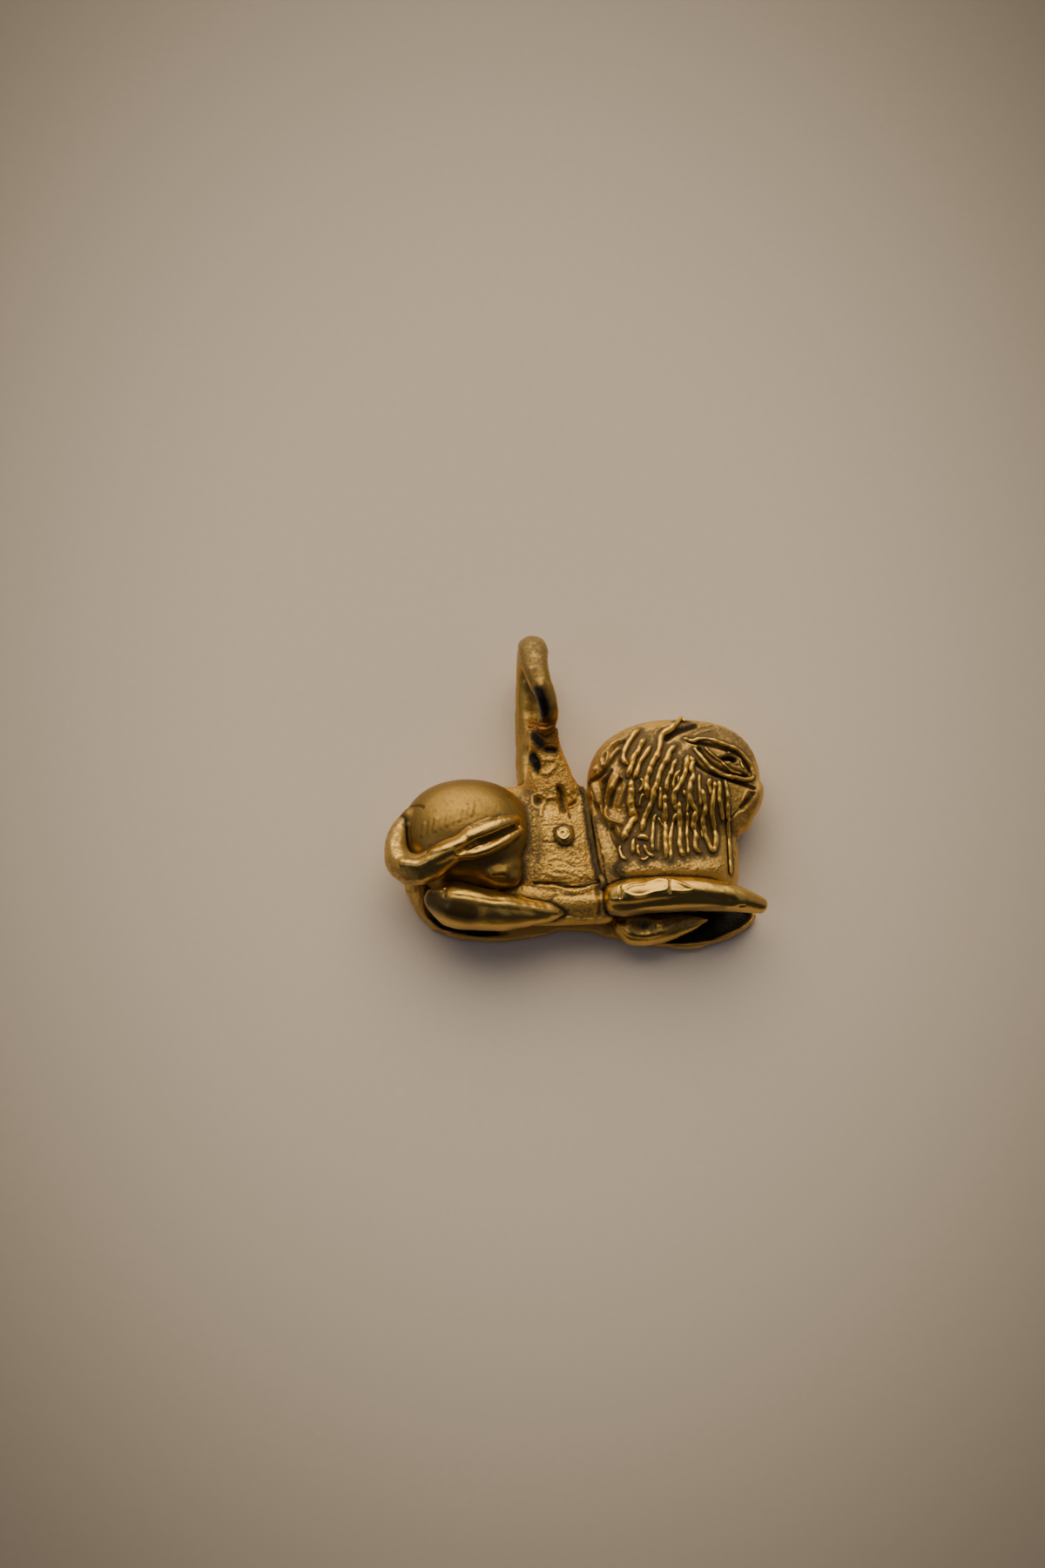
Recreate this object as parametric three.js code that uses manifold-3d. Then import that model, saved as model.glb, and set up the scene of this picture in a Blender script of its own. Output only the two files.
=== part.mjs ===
// A recumbent lion pendant in gilt brass: separately formed members laid on a thin back plate
// and brazed together, with a heavy loop bail brazed to the ridge of the back.
// Millimetres. The back plate lies on z = 0, the head points to +X and the bail to +Y.
import * as THREE from "three";
import { mergeVertices } from "three/addons/utils/BufferGeometryUtils.js";
import Module from "manifold-3d";

const wasm = await Module();
wasm.setup();

// Sizes that drive the figure.
const seatGap = 0.08; // daylight kept where a curved member sits on its neighbour
const plateThickness = 1.2;
const plateMargin = 0.35; // how far the plate's edge stays inside the outline of the figure
const rimDrop = 2.2; // how far the plate runs out below the near foreleg

const seamX = 1; // where the slanting shoulder seam crosses y = 0
const seamLean = 7; // degrees the seam leans from upright
const seamWidth = 0.3;

const torsoLength = 4.9; // from the edge of the haunch to the seam
const torsoY = -1;
const torsoHalfHeight = 4.85;
const torsoTop = 5.8;
const torsoEdge = 2.8; // height at which the torso's side wall turns into its crown

const haunchHalfLength = 5.85;
const haunchHalfHeight = 4.75;
const haunchY = -0.7;
const haunchTop = 8.1;
const haunchEdge = 4.4;
const kneeRadius = 1.75;

const bellyRadius = 1.6;
const bellyHeight = 3.3; // height of the belly roll's centre line

const hindFootLength = 12.6;
const hindFootHalfWidth = 2.05;
const hindFootHalfDepth = 2.3;
const hindFootHeight = 5;

const tailRadius = 1.45;
const tuftHalfWidth = 1.9;
const tuftLength = 7.1;
const tuftLobeRadius = 0.75;

const headOverhang = 2.05; // how far the nose stands out beyond the front of the chest
const headHalfLength = 7.6;
const headHalfHeight = 5.75;
const headY = 4;
const headTop = 7;
const headEdge = 3.4;
const browSquareness = 2.6; // how boxy the front of the head is
const muzzleRadius = 1.6;
const chinRadius = 0.95;

const chestLength = 13.2; // from the seam to the front of the chest
const chestHalfHeight = 4.9;
const chestY = -2.4;
const chestTop = 6.1;
const chestEdge = 3;

const forelegLength = 13.9;
const forelegHalfWidth = 1.6;
const forelegHalfDepth = 2.1;
const forelegHeight = 5.2;
const farForelegLength = 8.2;
const farForelegRadius = 1.5;

const studRadius = 0.8;
const studHeight = 0.55;
const flapLength = 7;
const flapWidth = 2.4;
const flapThickness = 0.45;

const lockCount = 16;
const lockRadius = 0.27;
const lockWave = 0.16; // how far each lock wanders from side to side
const napeLockCount = 4;
const napeLockRadius = 0.62;
const lidRadius = 0.3;
const eyeLength = 6;
const eyeHeight = 1.9;
const throatRadius = 0.4;

const bailWire = 2.2; // wire thickness seen along the chain
const bailWidth = 2.8; // wire width across the crown
const bailClear = 0.3; // how far the far strand stays above the ground that the plate lies on
const eyeGap = 4.7; // clear width of the bail's eye, front to back
const eyeReach = 5.8; // clear height of the bail's eye
const bridgeRadius = 0.75;
const bridgeY = 8.2; // where the brazed bridge closes the eye
const bailX = -3.8;
const bailLean = 0.8; // how far the near strand steps sideways towards the head
const bailFootHalfWidth = 2.4;
const bailFootHalfDepth = 1.75;

// Places that follow from the sizes.
const haunchX = seamX - torsoLength - haunchHalfLength;
const headX = seamX + chestLength + headOverhang - headHalfLength;
const chestOverrun = chestLength * 0.2; // how far the chest's form runs on behind the seam
const chestHalfLength = (chestLength + chestOverrun) / 2;
const chestX = seamX + chestLength - chestHalfLength;
const torsoX = seamX - torsoLength * 0.9;
const torsoHalfLength = torsoLength * 1.4;
const torsoBottom = torsoY - torsoHalfHeight;
const torsoRidge = torsoY + torsoHalfHeight;
const haunchBottom = haunchY - haunchHalfHeight;
const chestBottom = chestY - chestHalfHeight;
const hindFootY = haunchBottom - hindFootHalfWidth * 0.95;
const forelegY = chestBottom + forelegHalfWidth * 0.55;
const bellyY = torsoBottom - bellyRadius * 0.75;
const farStrandZ = bailClear + bailWire / 2;
const bailMiddle = farStrandZ + (bailWire + eyeGap) / 2;
const nearStrandZ = bailMiddle + (bailWire + eyeGap) / 2;
const eyeBase = bridgeY + bridgeRadius;
const crownY = eyeBase + eyeReach + bailWire / 2;

const brass = { color: 0xb98b3c, roughness: 0.3, metalness: 1 };
const darkBrass = { color: 0x7d5a28, roughness: 0.45, metalness: 1 };
const brazing = { color: 0x8a4f22, roughness: 0.5, metalness: 1 };

const figure = new THREE.Group();

// Turns a closed geometry into a solid that can be joined and cut.
function solidFrom(geometry) {
  const bare = geometry.clone();
  bare.deleteAttribute("normal");
  bare.deleteAttribute("uv");
  const merged = mergeVertices(bare, 1e-5);
  return new wasm.Manifold(
    new wasm.Mesh({
      numProp: 3,
      vertProperties: merged.attributes.position.array,
      triVerts: new Uint32Array(merged.index.array),
    }),
  );
}

function geometryFrom(solid) {
  const made = solid.getMesh();
  const geometry = new THREE.BufferGeometry();
  geometry.setAttribute("position", new THREE.BufferAttribute(made.vertProperties, 3));
  geometry.setIndex(new THREE.BufferAttribute(made.triVerts, 1));
  geometry.computeVertexNormals();
  return geometry;
}

// Joins rings of points into one closed skin, with a point closing each end.
function skin(rings, firstTip, lastTip) {
  const sides = rings[0].length;
  const points = [...rings.flat(), firstTip, lastTip];
  const first = points.length - 2;
  const last = points.length - 1;
  const faces = [];
  rings.slice(1).forEach((_, k) => {
    for (let i = 0; i < sides; i++) {
      const a = k * sides + i;
      const b = k * sides + ((i + 1) % sides);
      faces.push(a, b, b + sides, a, b + sides, a + sides);
    }
  });
  const top = (rings.length - 1) * sides;
  for (let i = 0; i < sides; i++) {
    const j = (i + 1) % sides;
    faces.push(first, j, i, last, top + i, top + j);
  }
  const geometry = new THREE.BufferGeometry().setFromPoints(points);
  geometry.setIndex(faces);
  return solidFrom(geometry);
}

// A pillow: a flat-backed form whose wall rises to an edge and then crowns over.
// Its outline is a superellipse, which a larger squareness makes boxier; `front` is that of its
// half towards +X.
function pillow({ x, y, halfLength, halfHeight, edge, top, squareness, front = squareness, grow = 0 }) {
  const sides = 36;
  const base = plateThickness - (grow ? 1 : 0);
  const crownRings = 5;
  const ring = (scale, z) =>
    Array.from({ length: sides }, (_, i) => {
      const turn = (2 * Math.PI * i) / sides;
      const power = 2 / (Math.cos(turn) > 0 ? front : squareness);
      const bend = (v) => Math.sign(v) * Math.abs(v) ** power;
      return new THREE.Vector3(
        x + (halfLength + grow) * scale * bend(Math.cos(turn)),
        y + (halfHeight + grow) * scale * bend(Math.sin(turn)),
        z,
      );
    });
  const rings = [ring(1, base), ring(1, edge)];
  for (let k = 1; k < crownRings; k++) {
    const slope = (k / crownRings) * (Math.PI / 2);
    rings.push(ring(Math.cos(slope), edge + (top + grow - edge) * Math.sin(slope)));
  }
  return skin(rings, new THREE.Vector3(x, y, base), new THREE.Vector3(x, y, top + grow));
}

// A roll: a tapered bar of oval section along a smooth path. The section's width lies along
// `across` turned square to the path, and swell(t) scales it from one end to the other.
function roll({ path, width, depth = width, swell, steps = 18, sides = 12, across, grow = 0 }) {
  const curve = new THREE.CatmullRomCurve3(path.map((p) => new THREE.Vector3(...p)));
  const rings = [];
  for (let k = 0; k <= steps; k++) {
    const t = 0.5 - 0.5 * Math.cos((Math.PI * (k + 0.35)) / (steps + 0.7));
    const centre = curve.getPointAt(t);
    const along = curve.getTangentAt(t);
    const side = across
      ? new THREE.Vector3(...across).addScaledVector(along, -along.dot(new THREE.Vector3(...across)))
      : new THREE.Vector3(0, 0, 1).cross(along);
    side.normalize();
    const up = along.clone().cross(side);
    rings.push(
      Array.from({ length: sides }, (_, i) => {
        const turn = (2 * Math.PI * i) / sides;
        return centre
          .clone()
          .addScaledVector(side, (width * swell(t) + grow) * Math.cos(turn))
          .addScaledVector(up, (depth * swell(t) + grow) * Math.sin(turn));
      }),
    );
  }
  const end = (t, sign) =>
    curve.getPointAt(t).addScaledVector(curve.getTangentAt(t), sign * (width * swell(t) * 0.4 + grow));
  return skin(rings, end(0, -1), end(1, 1));
}

const box = (x, y, z, cx, cy, cz, turn = 0) =>
  solidFrom(new THREE.BoxGeometry(x, y, z).rotateZ(turn).translate(cx, cy, cz));

// Shapes of the ends: round at both, or round behind and pointed in front.
const roundEnds = (t) => Math.max(0.12, 1 - Math.abs(2 * t - 1) ** 4) ** 0.5;
const pointedFront = (t) => Math.max(0.1, Math.min(1, 4.5 * t + 0.35) * (1 - t ** 2.6) ** 0.9);
const blunt = () => 1;
const through = (shares) => (t) => {
  const at = t * (shares.length - 1);
  const k = Math.min(Math.floor(at), shares.length - 2);
  return THREE.MathUtils.lerp(shares[k], shares[k + 1], at - k);
};

// The height of the topmost surface of some solids at a place, found by looking straight down.
function heightOver(solids) {
  const meshes = solids.map(
    (s) => new THREE.Mesh(geometryFrom(s), new THREE.MeshBasicMaterial({ side: THREE.DoubleSide })),
  );
  const eye = new THREE.Raycaster();
  const down = new THREE.Vector3(0, 0, -1);
  const start = 50;
  return (x, y) => {
    eye.set(new THREE.Vector3(x, y, start), down);
    const hits = eye.intersectObjects(meshes, false);
    return hits.length ? hits[0].point.z : plateThickness;
  };
}

// Keeps the largest piece when a cut leaves slivers behind.
function largest(solid) {
  const pieces = solid.decompose();
  pieces.sort((a, b) => b.volume() - a.volume());
  return pieces[0];
}

const cut = (solid, ...tools) => largest(tools.reduce((left, tool) => left.subtract(tool), solid));

function add(name, solid, look) {
  const mesh = new THREE.Mesh(geometryFrom(solid), new THREE.MeshStandardMaterial(look));
  mesh.name = name;
  figure.add(mesh);
}

// Two slabs that end at the slanting seam: one covers all behind it, the other all before it.
const far = 60;
const lean = THREE.MathUtils.degToRad(seamLean);
const slab = (side) => {
  const reach = far / 2 + (side > 0 ? -seamWidth / 2 : -seamWidth / 2);
  return box(far, far, far, seamX + side * reach * Math.cos(lean), side * reach * Math.sin(lean), 0, lean);
};
const beforeSeam = slab(1);
const behindSeam = slab(-1);
const belowPlateTop = box(far, far, far, 0, 0, plateThickness - far / 2);

// Back plate: a thin sheet under the whole figure. It follows the haunch and head, and runs
// out below in two lobes, under the hind foot and under the forelegs, with a waist between.
const heelX = haunchX - hindFootLength * 0.3;
const elbowX = seamX + forelegHalfWidth * 0.8;
const plateEdge = new THREE.SplineCurve(
  [
    [haunchX - haunchHalfLength + plateMargin, haunchY - 0.5],
    [haunchX - haunchHalfLength * 0.66, haunchY + haunchHalfHeight * 0.66],
    [haunchX, haunchY + haunchHalfHeight - plateMargin],
    [seamX - torsoLength * 0.7, torsoRidge - plateMargin],
    [headX - headHalfLength + plateMargin, headY + 0.4],
    [headX - headHalfLength * 0.66, headY + headHalfHeight * 0.62],
    [headX, headY + headHalfHeight - plateMargin],
    [headX + headHalfLength * 0.7, headY + headHalfHeight * 0.6],
    [headX + headHalfLength - plateMargin, headY - 0.4],
    [seamX + chestLength - plateMargin, chestY + chestHalfHeight * 0.5],
    [seamX + chestLength, forelegY + forelegHalfWidth],
    [elbowX + forelegLength * 0.98, forelegY - 0.9],
    [elbowX + forelegLength * 0.86, forelegY - forelegHalfWidth - rimDrop * 0.45],
    [elbowX + forelegLength * 0.6, forelegY - forelegHalfWidth - rimDrop],
    [elbowX + forelegLength * 0.25, forelegY - forelegHalfWidth - rimDrop * 0.88],
    [seamX - torsoLength * 0.2, bellyY - bellyRadius],
    [heelX + hindFootLength * 0.72, hindFootY - hindFootHalfWidth * 0.95],
    [heelX + hindFootLength * 0.38, hindFootY - hindFootHalfWidth * 1.05],
    [heelX + hindFootLength * 0.06, hindFootY - hindFootHalfWidth * 0.5],
    [heelX - hindFootLength * 0.13, hindFootY + hindFootHalfWidth * 1.3],
  ].map(([x, y]) => new THREE.Vector2(x, y)),
);
plateEdge.points.push(plateEdge.points[0].clone());
const plateShape = new THREE.Shape(plateEdge.getPoints(100).slice(0, -1));
const plate = solidFrom(
  new THREE.ExtrudeGeometry(plateShape, { depth: plateThickness, bevelEnabled: false }),
);

// Torso: the barrel between haunch and shoulder, cut off at the seam.
const torsoForm = (grow) =>
  pillow({
    x: torsoX,
    y: torsoY,
    halfLength: torsoHalfLength,
    halfHeight: torsoHalfHeight,
    edge: torsoEdge,
    top: torsoTop,
    squareness: 4,
    grow,
  });
const torso = cut(torsoForm(0), beforeSeam);
const torsoRoom = torsoForm(seatGap).subtract(beforeSeam);

// Haunch: the domed thigh, the largest swelling of the figure, which laps over the torso.
const haunchForm = (grow) =>
  pillow({
    x: haunchX,
    y: haunchY,
    halfLength: haunchHalfLength,
    halfHeight: haunchHalfHeight,
    edge: haunchEdge,
    top: haunchTop,
    squareness: 2.15,
    grow,
  });
const haunch = cut(haunchForm(0), torsoRoom);
const haunchRoom = haunchForm(seatGap);

// Chest: the shoulder and lower front of the body, under the mane.
const chestForm = (grow) =>
  pillow({
    x: chestX,
    y: chestY,
    halfLength: chestHalfLength,
    halfHeight: chestHalfHeight,
    edge: chestEdge,
    top: chestTop,
    squareness: 3.6,
    grow,
  });
const chest = cut(chestForm(0), behindSeam);
const chestRoom = chestForm(seatGap).subtract(behindSeam);

// Head: the broad disc that carries the mane and the face in profile, and laps over the chest.
const headForm = (grow) =>
  pillow({
    x: headX,
    y: headY,
    halfLength: headHalfLength,
    halfHeight: headHalfHeight,
    edge: headEdge,
    top: headTop,
    squareness: 2.2,
    front: browSquareness,
    grow,
  });
const head = cut(headForm(0), torsoRoom, chestRoom);
const headRoom = headForm(seatGap);

// Knee: the small swelling at the lower front corner of the haunch.
const kneeForm = (grow) =>
  solidFrom(
    new THREE.SphereGeometry(kneeRadius + grow, 18, 12)
      .scale(1.15, 0.85, 0.9)
      .translate(haunchX + haunchHalfLength * 0.5, haunchY - haunchHalfHeight * 0.72, haunchEdge + 0.55),
  );
const kneeRoom = kneeForm(seatGap);
const knee = cut(kneeForm(0), haunchRoom, torsoRoom);

// Hind foot: a long roll, round at the heel and pointed at the toe, under the haunch.
const hindFootForm = (grow) =>
  roll({
    path: [
      [heelX, hindFootY + 0.8, hindFootHeight],
      [heelX + hindFootLength * 0.35, hindFootY - 0.25, hindFootHeight],
      [heelX + hindFootLength * 0.7, hindFootY - 0.55, hindFootHeight - 0.2],
      [heelX + hindFootLength, hindFootY - 0.35, hindFootHeight - 0.6],
    ],
    width: hindFootHalfWidth,
    depth: hindFootHalfDepth,
    swell: pointedFront,
    steps: 16,
    grow,
  });
const hindFoot = cut(hindFootForm(0), haunchRoom, kneeRoom, torsoRoom);
const hindFootRoom = hindFootForm(seatGap);

// Forelegs: the near one is a long roll along the chest, the far one is tucked below it.
const forelegForm = (grow) =>
  roll({
    path: [
      [elbowX, forelegY - 0.45, forelegHeight - 0.3],
      [elbowX + forelegLength * 0.25, forelegY - 0.1, forelegHeight],
      [elbowX + forelegLength * 0.5, forelegY, forelegHeight + 0.1],
      [elbowX + forelegLength * 0.8, forelegY - 0.35, forelegHeight - 0.2],
      [elbowX + forelegLength, forelegY - 1, forelegHeight - 0.6],
    ],
    width: forelegHalfWidth,
    depth: forelegHalfDepth,
    swell: (t) => Math.min(1, 3 * t + 0.75) * (1 - 0.6 * t ** 3.4),
    steps: 16,
    grow,
  });
const foreleg = cut(forelegForm(0), chestRoom, behindSeam);
const forelegRoom = forelegForm(seatGap);
const farForelegY = forelegY - forelegHalfWidth * 0.65 - farForelegRadius;
const farForelegZ = plateThickness + farForelegRadius * 0.7;
const farForelegForm = (grow) =>
  roll({
    path: [
      [elbowX + forelegHalfWidth * 0.6, farForelegY + 0.3, farForelegZ],
      [elbowX + forelegHalfWidth * 0.6 + farForelegLength * 0.35, farForelegY, farForelegZ],
      [elbowX + forelegHalfWidth * 0.6 + farForelegLength, farForelegY + 0.9, farForelegZ],
    ],
    width: farForelegRadius,
    swell: pointedFront,
    steps: 14,
    grow,
  });
const farForeleg = cut(farForelegForm(0), forelegRoom, chestRoom, belowPlateTop);

// Belly: a roll that closes the torso below, between the toe and the elbow.
const belly = cut(
  roll({
    path: [
      [haunchX + haunchHalfLength * 0.5, bellyY, bellyHeight],
      [(haunchX + haunchHalfLength + seamX) / 2, bellyY - 0.1, bellyHeight],
      [seamX + bellyRadius * 1.1, bellyY + 0.1, bellyHeight],
    ],
    width: bellyRadius,
    swell: blunt,
    steps: 6,
  }),
  haunchRoom,
  torsoRoom,
  kneeRoom,
  hindFootRoom,
  chestRoom,
  forelegRoom,
  farForelegForm(seatGap),
  belowPlateTop,
);

// Tail: it leaves the rump, curls round the end of the haunch and lies across the thigh.
const overHaunch = heightOver([haunch, torso]);
const onHaunch = (along, up, lift) => {
  const x = haunchX + haunchHalfLength * along;
  const y = haunchY + haunchHalfHeight * up;
  return [x, y, Math.max(overHaunch(x, y), haunchEdge + 1.4) + lift];
};
const tuftAngle = Math.atan2(haunchHalfHeight * 0.6, haunchHalfLength * 1.1);
const tuftStart = onHaunch(-0.3, -0.53, 0);
const tuftSpot = (run, offset, lift) => {
  const x = tuftStart[0] + tuftLength * run * Math.cos(tuftAngle) - offset * Math.sin(tuftAngle);
  const y = tuftStart[1] + tuftLength * run * Math.sin(tuftAngle) + offset * Math.cos(tuftAngle);
  return [x, y, overHaunch(x, y) + lift];
};
const tuftForm = (grow) =>
  [
    [0.4, 0.38, 0.3],
    [0, -0.1, -0.45],
    [-0.5, 0, 0.2],
  ]
    .map(([side, start, lift]) =>
      roll({
        path: [
          tuftSpot(start * 0.1, side * tuftHalfWidth * 0.4, 0.35 + Math.min(0, lift)),
          tuftSpot(0.46, side * tuftHalfWidth, 0.25 + lift),
          tuftSpot(0.93, side * tuftHalfWidth * 0.3, 0.15),
        ],
        width: tuftLobeRadius,
        swell: roundEnds,
        steps: 9,
        sides: 8,
        grow,
      }),
    )
    .reduce((whole, lobe) => whole.add(lobe));
const tuft = cut(tuftForm(0), haunchRoom, kneeRoom, torsoRoom);
const tail = cut(
  roll({
    path: [
      onHaunch(-0.93, 0.2, -0.7),
      onHaunch(-1.06, -0.1, -0.5),
      onHaunch(-1.09, -0.46, -0.2),
      onHaunch(-0.93, -0.78, 0.3),
      onHaunch(-0.66, -0.76, 0.9),
      onHaunch(-0.4, -0.58, 0.5),
      onHaunch(-0.1, -0.42, 0.4),
    ],
    width: tailRadius,
    swell: through([0.5, 0.62, 0.72, 0.9, 1, 1, 0.96, 0.85, 0.7]),
    steps: 18,
    sides: 10,
  }),
  haunchRoom,
  tuftForm(seatGap),
  hindFootRoom,
  belowPlateTop,
);

// Lids: two beads that meet at the corners of a long almond eye, and a smaller almond inside.
const overFace = heightOver([head, chest]);
const faceTurn = THREE.MathUtils.degToRad(-30);
const eyeX = headX + headHalfLength * 0.54;
const eyeY = headY + headHalfHeight * 0.22;
const onFace = (along, up, lift) => {
  const x = eyeX + along * Math.cos(faceTurn) - up * Math.sin(faceTurn);
  const y = eyeY + along * Math.sin(faceTurn) + up * Math.cos(faceTurn);
  return [x, y, overFace(x, y) + lift];
};
const lidForm = (rise, grow) =>
  roll({
    path: [-0.5, -0.2, 0.15, 0.5].map((s) =>
      onFace(s * eyeLength, rise * (1 - (2 * s) ** 2), lidRadius * 0.35),
    ),
    width: lidRadius,
    swell: roundEnds,
    steps: 10,
    sides: 6,
    grow,
  });
const lidRise = eyeHeight / 2 + lidRadius;
const upperLid = cut(lidForm(lidRise, 0), headRoom, chestRoom);
const lowerLid = cut(lidForm(-lidRise, 0), headRoom, chestRoom, lidForm(lidRise, seatGap));
const eyeball = cut(
  solidFrom(
    new THREE.SphereGeometry(1, 16, 8)
      .scale(eyeLength * 0.34, eyeHeight * 0.34, lidRadius * 1.6)
      .rotateZ(faceTurn)
      .translate(...onFace(eyeLength * 0.04, 0, 0)),
  ),
  headRoom,
);

// Muzzle and chin: the blunt nose at the front of the head, and the jaw over the chest's front.
const chinForm = (grow) =>
  solidFrom(
    new THREE.SphereGeometry(chinRadius + grow, 14, 10)
      .scale(0.9, 0.8, 1.6)
      .translate(seamX + chestLength + chinRadius * 0.4, headY - headHalfHeight * 0.64, headEdge),
  );
const chin = cut(chinForm(0), headRoom, chestRoom);
const chinRoom = chinForm(seatGap);
const muzzleForm = (grow) =>
  solidFrom(
    new THREE.SphereGeometry(muzzleRadius + grow, 18, 12)
      .scale(0.5, 1.15, 1.4)
      .rotateZ(-0.35)
      .translate(headX + headHalfLength * 0.9, headY - headHalfHeight * 0.3, headEdge + 0.4),
  );
const muzzle = cut(
  muzzleForm(0),
  headRoom,
  lidForm(lidRise, seatGap),
  lidForm(-lidRise, seatGap),
  chestRoom,
  chinRoom,
);
const muzzleRoom = muzzleForm(seatGap);

// Mane: a fan of wavy locks that starts along the brow and falls to a hem on the chest.
// Along the figure both are given in shares of the head's half length. Upwards the brow is in
// shares of the head's half height, and the hem in shares of the chest's.
const browLine = new THREE.SplineCurve(
  [[-0.6, 0.44], [-0.3, 0.7], [0.04, 0.68], [0.2, 0.26], [0.5, -0.14]].map(
    ([x, y]) => new THREE.Vector2(headX + headHalfLength * x, headY + headHalfHeight * y),
  ),
);
const hemLine = new THREE.SplineCurve(
  [[-0.76, 0.72], [-0.59, 0.11], [-0.21, -0.24], [0.21, -0.24], [0.52, -0.29]].map(
    ([x, y]) => new THREE.Vector2(headX + headHalfLength * x, chestY + chestHalfHeight * y),
  ),
);
const lockPlace = (k, s) => {
  const u = k / (lockCount - 1);
  const spot = browLine.getPoint(u).lerp(hemLine.getPoint(u), s);
  spot.x += lockWave * Math.sin(6.5 * s + 2.1 * k);
  return [spot.x, spot.y, overFace(spot.x, spot.y) + lockRadius * 0.35];
};
const lockForm = (k, grow) =>
  roll({
    path: [0, 0.17, 0.34, 0.51, 0.68, 0.85, 1].map((s) => lockPlace(k, s)),
    width: lockRadius,
    swell: roundEnds,
    steps: 7,
    sides: 5,
    grow,
  });

// Nape locks: broad short tufts that lap over one another at the back of the mane.
const napeLockForm = (k, grow) => {
  const step = k / napeLockCount;
  const place = (s) => {
    const x = headX - headHalfLength * (0.93 - 0.2 * step - 0.26 * s * (1 - step));
    const y = headY + headHalfHeight * (0.1 - 0.34 * step) + headHalfHeight * (0.55 - 0.75 * step) * s;
    return [x, y, overFace(x, y) + napeLockRadius * 0.2];
  };
  return roll({
    path: [place(0), place(0.5), place(1)],
    width: napeLockRadius,
    depth: napeLockRadius * 0.8,
    swell: roundEnds,
    steps: 9,
    sides: 8,
    grow,
  });
};

// Shoulder flap: a wedge-shaped slip that edges the mane along the seam.
const overShoulder = heightOver([chest, head]);
const flapTopY = torsoRidge - flapWidth;
const seamAt = (y) => seamX - Math.tan(lean) * y;
const flapForm = (grow) => {
  const at = (s, wide) => {
    const y = flapTopY - flapLength * s;
    const x = seamAt(y) + seamWidth / 2 + 0.1 + wide;
    return [x, y, overShoulder(x, y) + flapThickness * 0.35];
  };
  return roll({
    path: [at(0, 0.25), at(0.35, flapWidth * 0.24), at(0.7, flapWidth * 0.42), at(1, flapWidth * 0.5)],
    width: flapWidth / 2,
    depth: flapThickness,
    swell: (t) => 0.16 + 0.7 * t,
    steps: 12,
    sides: 10,
    grow,
  });
};
const flap = cut(flapForm(0), headRoom, chestRoom, behindSeam, torsoRoom, forelegRoom);
const flapRoom = flapForm(seatGap);

// Throat: a thin upright bead down the front edge of the neck.
const throatForm = (grow) =>
  roll({
    path: [0, 0.5, 1].map((s) => {
      const x = seamX + chestLength * (0.935 - 0.02 * s);
      const y = chestY + chestHalfHeight * (0.95 - 1.5 * s);
      return [x, y, overFace(x, y) + throatRadius * 0.3];
    }),
    width: throatRadius,
    swell: roundEnds,
    steps: 10,
    sides: 7,
    grow,
  });
const throat = cut(throatForm(0), headRoom, chestRoom, forelegRoom, chinRoom, muzzleRoom);

// Each lock stops short of the one laid before it.
const throatRoom = throatForm(seatGap);
const lockRooms = Array.from({ length: lockCount }, (_, k) => lockForm(k, seatGap));
const locks = lockRooms.map((_, k) =>
  cut(lockForm(k, 0), headRoom, chestRoom, flapRoom, throatRoom, ...lockRooms.slice(0, k)),
);
const napeLocks = Array.from({ length: napeLockCount }, (_, k) =>
  cut(
    napeLockForm(k, 0),
    headRoom,
    chestRoom,
    torsoRoom,
    flapRoom,
    ...lockRooms,
    ...(k ? [napeLockForm(k - 1, seatGap)] : []),
  ),
);

// Stud: a round pellet in the middle of the torso.
const studX = seamX - torsoLength * 0.5;
const studY = torsoY - torsoHalfHeight * 0.07;
const studSeat = heightOver([torso])(studX, studY);
const studProfile = [
  [0, -0.2],
  [studRadius, -0.2],
  [studRadius, studHeight * 0.35],
  [studRadius * 0.72, studHeight * 0.85],
  [0, studHeight],
].map(([r, z]) => new THREE.Vector2(r, z));
const stud = cut(
  solidFrom(new THREE.LatheGeometry(studProfile, 18).rotateX(Math.PI / 2).translate(studX, studY, studSeat)),
  torsoRoom,
);

// Bail: one thick wire that rises behind the back, turns over and comes down in front,
// a brazed bridge that closes its eye, and a flared foot on the ridge of the back.
const bailLegX = (s) => bailX + bailLean * s;
const bailLoopForm = (grow) =>
  roll({
    path: [
      [bailLegX(0.1), torsoRidge - 0.7, farStrandZ + bailWire * 0.45],
      [bailLegX(0.1), bridgeY - 1.8, farStrandZ + 0.1],
      [bailLegX(0.2), eyeBase + eyeReach * 0.5, farStrandZ],
      [bailLegX(0.1), crownY - 0.75, farStrandZ + eyeGap * 0.22],
      [bailLegX(0), crownY, bailMiddle],
      [bailLegX(-0.2), crownY - 0.75, nearStrandZ - eyeGap * 0.22],
      [bailLegX(-0.1), eyeBase + eyeReach * 0.72, nearStrandZ - 0.1],
      [bailLegX(0.4), eyeBase + eyeReach * 0.48, nearStrandZ],
      [bailLegX(1.2), eyeBase + eyeReach * 0.24, nearStrandZ - 0.05],
      [bailLegX(1.45), eyeBase + eyeReach * 0.06, nearStrandZ - 0.6],
      [bailLegX(1.1), bridgeY + 0.1, nearStrandZ - 1.6],
    ],
    width: bailWidth / 2,
    depth: bailWire / 2,
    across: [1, 0, 0],
    swell: through([1, 1, 1.04, 1.05, 1.04, 1, 0.93, 0.93, 0.92, 0.78, 0.56, 0.62]),
    steps: 27,
    sides: 12,
    grow,
  });
const bailLoop = cut(bailLoopForm(0), torsoRoom, haunchRoom, plate);
const bailLoopRoom = bailLoopForm(seatGap);
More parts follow.
